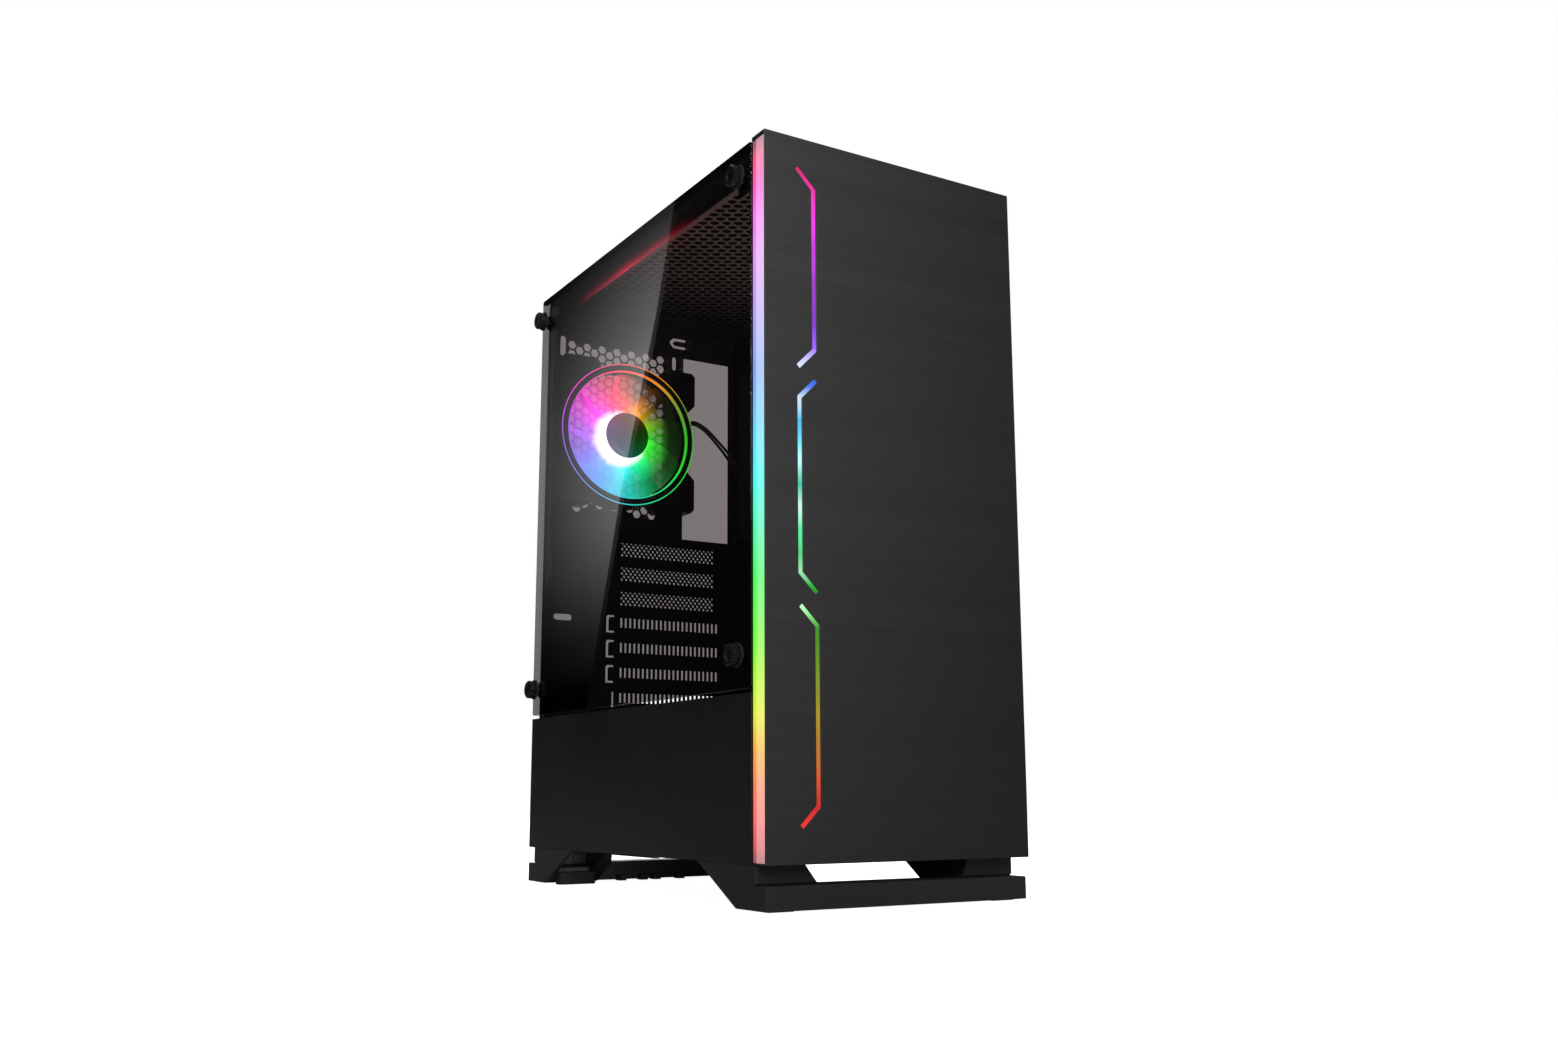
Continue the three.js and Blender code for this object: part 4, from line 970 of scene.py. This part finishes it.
def fan_light_ring():
    """Two lit rims with a smoky band sunk between them."""
    _, (y0, y1), _ = span("fan_light_ring")
    depth = y1 - y0
    profile = [
        (0, RING_INNER + 0.9), (0.5, RING_INNER + 1.3), (0.5, RING_OUTER - 1.3), (0, RING_OUTER - 0.9),
        (0, RING_OUTER), (depth, RING_OUTER), (depth, RING_INNER), (0.3, RING_INNER),
    ]
    looks = [1, 1, 1, 0, 1, 1, 0, 0]
    bm = bmesh.new()
    add_turned(bm, "y", at(FAN_X, y0, FAN_Z), profile, 96, looks=looks, ring=True)
    finish_piece("fan_light_guide", mesh_of(bm), [LIT_RIM, BAND], "chassis", ["fan_light_ring"])


fan_rotor()
fan_light_ring()

# ---- fan leads

LEAD_RADIUS = 1.15
# Points of the leads' common route, in millimetres.
LEAD_ROUTE = [
    (31.3, 337, 374), (35, 334, 374), (43, 331, 369), (54, 330, 359), (65, 330, 348), (73, 328, 334),
    (77, 321, 318), (79, 300, 296), (79.6, 262, 271), (79.8, 214, 247), (79.6, 165, 227), (78, 124, 214),
    (77.6, 106, 208), (79.6, 97.6, 205.5), (83.5, 96, 205), (87.6, 95.6, 203.6), (89.6, 95, 191),
    (89.6, 95, 180.3),
]
# How far each lead lies from the route at each of its points.
LEAD_SPREAD = [1.0, 1.0, 1.1, 1.4, 1.8, 2.2, 2.0, 1.2] + [1.0] * 10


def through(points, steps):
    """A smooth line through the points."""
    ends = [2 * points[0] - points[1], *points, 2 * points[-1] - points[-2]]
    line = []
    for before, a, b, after in zip(ends, ends[1:], ends[2:], ends[3:]):
        for step in range(steps):
            t = step / steps
            pull = 2 * a + (b - before) * t + (2 * before - 5 * a + 4 * b - after) * t * t
            line.append((pull + (3 * a - before - 3 * b + after) * t ** 3) / 2)
    return [*line, points[-1]]


def add_lead(bm, line, radius):
    """A closed round lead along a line of points."""
    sides = 10
    side = Vector((0, 0, 1))
    rows = []
    for index, point in enumerate(line):
        ahead = (line[min(index + 1, len(line) - 1)] - line[max(index - 1, 0)]).normalized()
        side = (side - ahead * side.dot(ahead)).normalized()
        other = ahead.cross(side)
        angles = [2 * math.pi * i / sides for i in range(sides)]
        circle = [point + radius * (math.cos(a) * side + math.sin(a) * other) for a in angles]
        rows.append([bm.verts.new(place) for place in circle])
    for a, b in zip(rows, rows[1:]):
        for i in range(sides):
            bm.faces.new([a[i], a[(i + 1) % sides], b[(i + 1) % sides], b[i]])
    bm.faces.new(rows[0][::-1])
    bm.faces.new(rows[-1])


def fan_leads():
    bm = bmesh.new()
    for side in (-1, 1):
        points = []
        for index, (point, spread) in enumerate(zip(LEAD_ROUTE, LEAD_SPREAD)):
            place = at(*point)
            after = at(*LEAD_ROUTE[min(index + 1, len(LEAD_ROUTE) - 1)])
            before = at(*LEAD_ROUTE[max(index - 1, 0)])
            across = (after - before).cross(Vector((1, 0.4, 0))).normalized()
            points.append(place + side * spread * MM * across)
        add_lead(bm, through(points, 6), LEAD_RADIUS * MM)
    finish_piece("fan_leads", mesh_of(bm), [SLEEVE], "chassis", ["fan_cable"])


fan_leads()

# ---- fasteners

FLUTES = 20
FLUTE_DEPTH = 0.45


def thumbscrew(node, axis, head, shank):
    """A black thumbscrew with a dished face, a knurled rim and a neck. head is a length, shank a radius."""
    (x0, x1), (y0, y1), (z0, z1) = span(node)
    if axis == "x":
        centre, radius, tip = at(x0, (y0 + y1) / 2, (z0 + z1) / 2), (y1 - y0) / 2, x1 - x0
    else:
        centre, radius, tip = at((x0 + x1) / 2, y1, (z0 + z1) / 2), (x1 - x0) / 2, y1 - y0
    shares = [
        (0.9, 0), (0.9, 0.42), (0, 0.52), (0, 0.83), (0.8, 1), (head - 1.7, 1), (head - 0.9, 0.81),
        (head, 0.81),
    ]
    profile = [(place, share * radius) for place, share in shares]
    profile += [(head, shank), (tip, shank), (tip, 0)]
    if axis == "y":
        profile = [(-place, reach) for place, reach in profile]

    def knurl(index, side, value):
        return value - FLUTE_DEPTH if index in (4, 5) and side % 4 >= 2 else value

    bm = bmesh.new()
    add_turned(bm, axis, centre, profile, 4 * FLUTES, knurl)
    name = node.replace("thumbscrew", "knurled_screw")
    finish_piece(name, mesh_of(bm), [SCREW], body_of(node), [node])


for number in range(1, 5):
    thumbscrew(f"glass_thumbscrew_{number}", "x", 5.3, 1.75)
for number in range(1, 3):
    thumbscrew(f"right_thumbscrew_{number}", "y", 4.2, 1.7)

SCREW_REACH = 52.5  # from the fan's middle to its screws, across and up
SIDES = (-SCREW_REACH, SCREW_REACH)
SCREW_PLACES = [(FAN_X + a, FAN_Z + b) for a in SIDES for b in SIDES]
SCREW_HEAD = [(0, 0), (0, 3.3), (0.7, 3.3), (1.5, 2.5), (1.5, 1.2), (0.8, 0.5), (0.8, 0)]
HEAD_GAP = 0.05  # between a head and the panel
RIVET_HEAD = [(0, 0), (0, 2.4), (0.4, 2.2), (0.9, 1.3), (1.1, 0)]
RIVETS = [(-87, 60), (-87, 160), (-87, 300), (-87, 400), (-60, 455), (60, 455), (81, 170), (81, 250)]


def rear_heads(name, places, head, sides, material):
    """One piece of equal turned heads that stand on the back of the rear panel."""
    back = span("rear_panel")[1][1]
    bm = bmesh.new()
    for x, z in places:
        add_turned(bm, "y", at(x, back + HEAD_GAP, z), head, sides)
    finish_piece(name, mesh_of(bm), [material], "chassis")


rear_heads("fan_screws", SCREW_PLACES, SCREW_HEAD, 20, SCREW)
rear_heads("rear_rivets", RIVETS, RIVET_HEAD, 16, PLATED)

# ---- rear foot fittings

# A rubber heel stands in the lower hollow of each rear pedestal, and four short ribs reach forward from the
# foot of the bar between them.
HEELS = [((-92.5, -64), (299, 310)), ((59, 87.5), (299, 310))]
HEEL_Z = (0.3, 9)
RIB_X = (-31, -12.6, -1.6, 19.4)
RIB_HALF_WIDTH = 3
RIB_REACH = 7
RIB_Z = (0.2, 4.5)
PAD_TO_BAR = 5.5  # from a rear foot pad's front edge to the bar's


def add_rounded_block(bm, x, y, z, corner):
    """A closed upright block whose four upright corners are cut by `corner` millimetres."""
    c = corner
    ring = [
        (x[0] + c, y[0]), (x[1] - c, y[0]), (x[1], y[0] + c), (x[1], y[1] - c),
        (x[1] - c, y[1]), (x[0] + c, y[1]), (x[0], y[1] - c), (x[0], y[0] + c),
    ]
    low, high = ([bm.verts.new(at(a, b, level)) for a, b in ring] for level in z)
    bm.faces.new(low[::-1])
    bm.faces.new(high)
    for i in range(len(ring)):
        j = (i + 1) % len(ring)
        bm.faces.new([low[i], low[j], high[j], high[i]])


def rear_foot_fittings():
    bm = bmesh.new()
    for x, y in HEELS:
        add_rounded_block(bm, x, y, HEEL_Z, 2.0)
    finish_piece("rear_foot_heels", mesh_of(bm), [RUBBER], "chassis")
    bm = bmesh.new()
    bar_front = span("rear_foot_pad_1")[1][0] - PAD_TO_BAR
    for x in RIB_X:
        width = (x - RIB_HALF_WIDTH, x + RIB_HALF_WIDTH)
        add_rounded_block(bm, width, (bar_front - RIB_REACH, bar_front + 2), RIB_Z, 0.8)
    finish_piece("rear_foot_ribs", mesh_of(bm), [FOOT_PLASTIC], "chassis")


rear_foot_fittings()

# ---- dust filter strands

STRAND = 0.45
STRAND_PITCH = 2.6


def strands(node, body, border, inset):
    """A woven screen across a filter's window, standing just clear of its backing sheet."""
    (x0, x1), (y0, y1), (z0, z1) = span(node)
    x0, x1, y0, y1 = x0 + border, x1 - border, y0 + border, y1 - border
    level = (z0 + z1) / 2 + inset
    bm = bmesh.new()
    for i in range(1, int((x1 - x0) / STRAND_PITCH)):
        x = x0 + i * STRAND_PITCH
        add_block(bm, (x, x + STRAND), (y0, y1), (level, level + STRAND))
    for i in range(1, int((y1 - y0) / STRAND_PITCH)):
        y = y0 + i * STRAND_PITCH
        add_block(bm, (x0, x1), (y, y + STRAND), (level + STRAND * 0.6, level + STRAND * 1.6))
    finish_piece(node + "_strands", mesh_of(bm), [MESH], body)


strands("top_dust_filter", "top_filter", 7, 0.22)

# ---- rounded edges on the CAD pieces

SHARP_ANGLE = math.radians(35)
# The CAD nodes whose edges are rounded, by the rounding's width in millimetres.
ROUNDED = {
    0.25: ["front_fascia"],
    0.35: ["right_side_panel"],
    0.4: ["front_shell", "light_strip_lens", "reset_button", "light_button"]
    + [f"{end}_foot_pad_{i}" for end in ("front", "rear") for i in (1, 2)],
    0.5: ["glass_panel", "port_bezel", "power_button", "drive_tray_1", "drive_tray_2"],
    0.7: ["lower_side_panel", "front_foot", "rear_foot"],
    0.8: ["light_controller"],
}


def round_edges():
    for width, nodes in ROUNDED.items():
        for node in nodes:
            weld = NODES[node].modifiers.new("weld", "WELD")
            weld.merge_threshold = 1e-5
            edge = NODES[node].modifiers.new("rounded", "BEVEL")
            edge.width = width * MM
            edge.segments = 2
            edge.limit_method = "ANGLE"
            edge.angle_limit = SHARP_ANGLE
            edge.harden_normals = False


round_edges()

# ---- stage and light

WORLD_LIGHT = 0.16  # the backdrop's strength as a light; the camera sees it as 1
WORLD_MIRRORED = 0.02  # and its strength in mirrored rays


def world_light():
    world = bpy.data.worlds.new("studio")
    bpy.context.scene.world = world
    world.use_nodes = True
    tree = world.node_tree
    back = tree.nodes["Background"]
    path = tree.nodes.new("ShaderNodeLightPath")
    level = tree.nodes.new("ShaderNodeMix")
    level.inputs[2].default_value = WORLD_LIGHT
    level.inputs[3].default_value = 1.0
    tree.links.new(path.outputs["Is Camera Ray"], level.inputs[0])
    dim = tree.nodes.new("ShaderNodeMix")
    dim.inputs[3].default_value = WORLD_MIRRORED
    tree.links.new(path.outputs["Is Glossy Ray"], dim.inputs[0])
    tree.links.new(level.outputs[0], dim.inputs[2])
    tree.links.new(dim.outputs[0], back.inputs["Strength"])
    back.inputs["Color"].default_value = (1, 1, 1, 1)


def stage_sheet(name, corners, look):
    """A flat face of the stage."""
    bm = bmesh.new()
    bm.faces.new([bm.verts.new(corner) for corner in corners])
    mesh = bpy.data.meshes.new(name)
    bm.to_mesh(mesh)
    bm.free()
    mesh.materials.append(look.material)
    sheet = new_object(name, mesh)
    return sheet


FLOOR_HALF = 12  # metres
FLOOR_Z = -0.0002


def floor():
    look = Look("floor")
    seen = look.node("LightPath").outputs["Is Camera Ray"]
    look.tree.nodes.remove(look.shader)
    matt = look.node("BsdfDiffuse", {"Color": look.mix(seen, grey(0.3), grey(0.85))})
    glow = look.node("Emission", {"Strength": look.times(seen, 0.97)})
    look.show(look.node("AddShader", {0: matt.outputs[0], 1: glow.outputs[0]}))
    corners = [(a * FLOOR_HALF, b * FLOOR_HALF, FLOOR_Z) for a, b in ((-1, -1), (1, -1), (1, 1), (-1, 1))]
    stage_sheet("floor", corners, look)


def softbox(name, place, target, size, watts, colour=(1, 1, 1)):
    data = bpy.data.lights.new(name, "AREA")
    data.shape, data.size, data.size_y = "RECTANGLE", size[0], size[1]
    data.energy, data.color = watts, colour
    lamp = new_object(name, data)
    lamp.location = place
    lamp.rotation_euler = (Vector(target) - Vector(place)).to_track_quat("-Z", "Y").to_euler()
    return lamp


# A slanted studio card, out of the camera's view, that the glass mirrors on its rear half.
CARD_X = -700
CARD_EDGE = [(1284, 1100), (1304, 1051), (1368, 877), (1496, 597), (1620, 252), (1650, 150)]
CARD_REAR = 2300
CARD_STRENGTH = 1.9
# How bright the card is by height, and by distance to the rear, both in millimetres.
CARD_BY_HEIGHT = [
    (250, 0.0), (340, 0.10), (410, 0.29), (480, 0.58), (540, 0.79), (610, 0.92), (700, 1.0), (760, 0.92),
    (810, 0.76), (860, 0.58), (912, 0.44), (970, 0.27), (1040, 0.10), (1100, 0.05),
]
CARD_BY_DEPTH = [
    (1200, 1.0), (1378, 1.0), (1518, 0.70), (1650, 0.40), (1745, 0.25), (1840, 0.125), (2000, 0.06),
]


def reflection_card():
    look = Look("card")
    look.tree.nodes.remove(look.shader)
    _, depth, height = look.axes()

    def brightness(place, table, origin):
        """The table's share at a place given in metres."""
        low, high = table[0][0], table[-1][0]
        stops = [((level - low) / (high - low), grey(share)) for level, share in table]
        return look.ramp(look.fit(place, origin + low * MM, origin + high * MM), stops)

    fade_up = brightness(height, CARD_BY_HEIGHT, 0)
    fade_back = brightness(depth, CARD_BY_DEPTH, FRONT_Y)
    strength = look.times(look.times(fade_up, fade_back), CARD_STRENGTH)
    look.show(look.node("Emission", {"Strength": strength}))
    edge = [*CARD_EDGE, (CARD_REAR, CARD_EDGE[-1][1]), (CARD_REAR, CARD_EDGE[0][1])]
    card = stage_sheet("card", [at(CARD_X, y, z) for y, z in edge], look)
    card.visible_camera = False
    card.visible_diffuse = False
    card.visible_shadow = False
    card.visible_transmission = False


world_light()
floor()
reflection_card()
softbox("key", (-0.55, -1.5, 0.95), (0, -0.18, 0.3), (0.9, 0.9), 26)
softbox("top", (0.1, 0.1, 2.3), (0, 0, 0.3), (2.2, 2.2), 20)
softbox("right", (2.2, 0.2, 1.2), (0, 0, 0.25), (1.4, 1.6), 15)
softbox("back", (0.6, 2.6, 1.3), (0, 0, 0.3), (1.4, 1.4), 26)
softbox("ceiling_fill", at(-10, 120, 330), at(-10, 150, 458), (0.12, 0.16), 0.45, (1, 0.86, 0.76))
under = softbox("foot_fill", at(-70, 215, 8), at(-75, 330, 14), (0.12, 0.012), 0.028)
under.visible_camera = False
bpy.context.scene.view_settings.view_transform = "Standard"
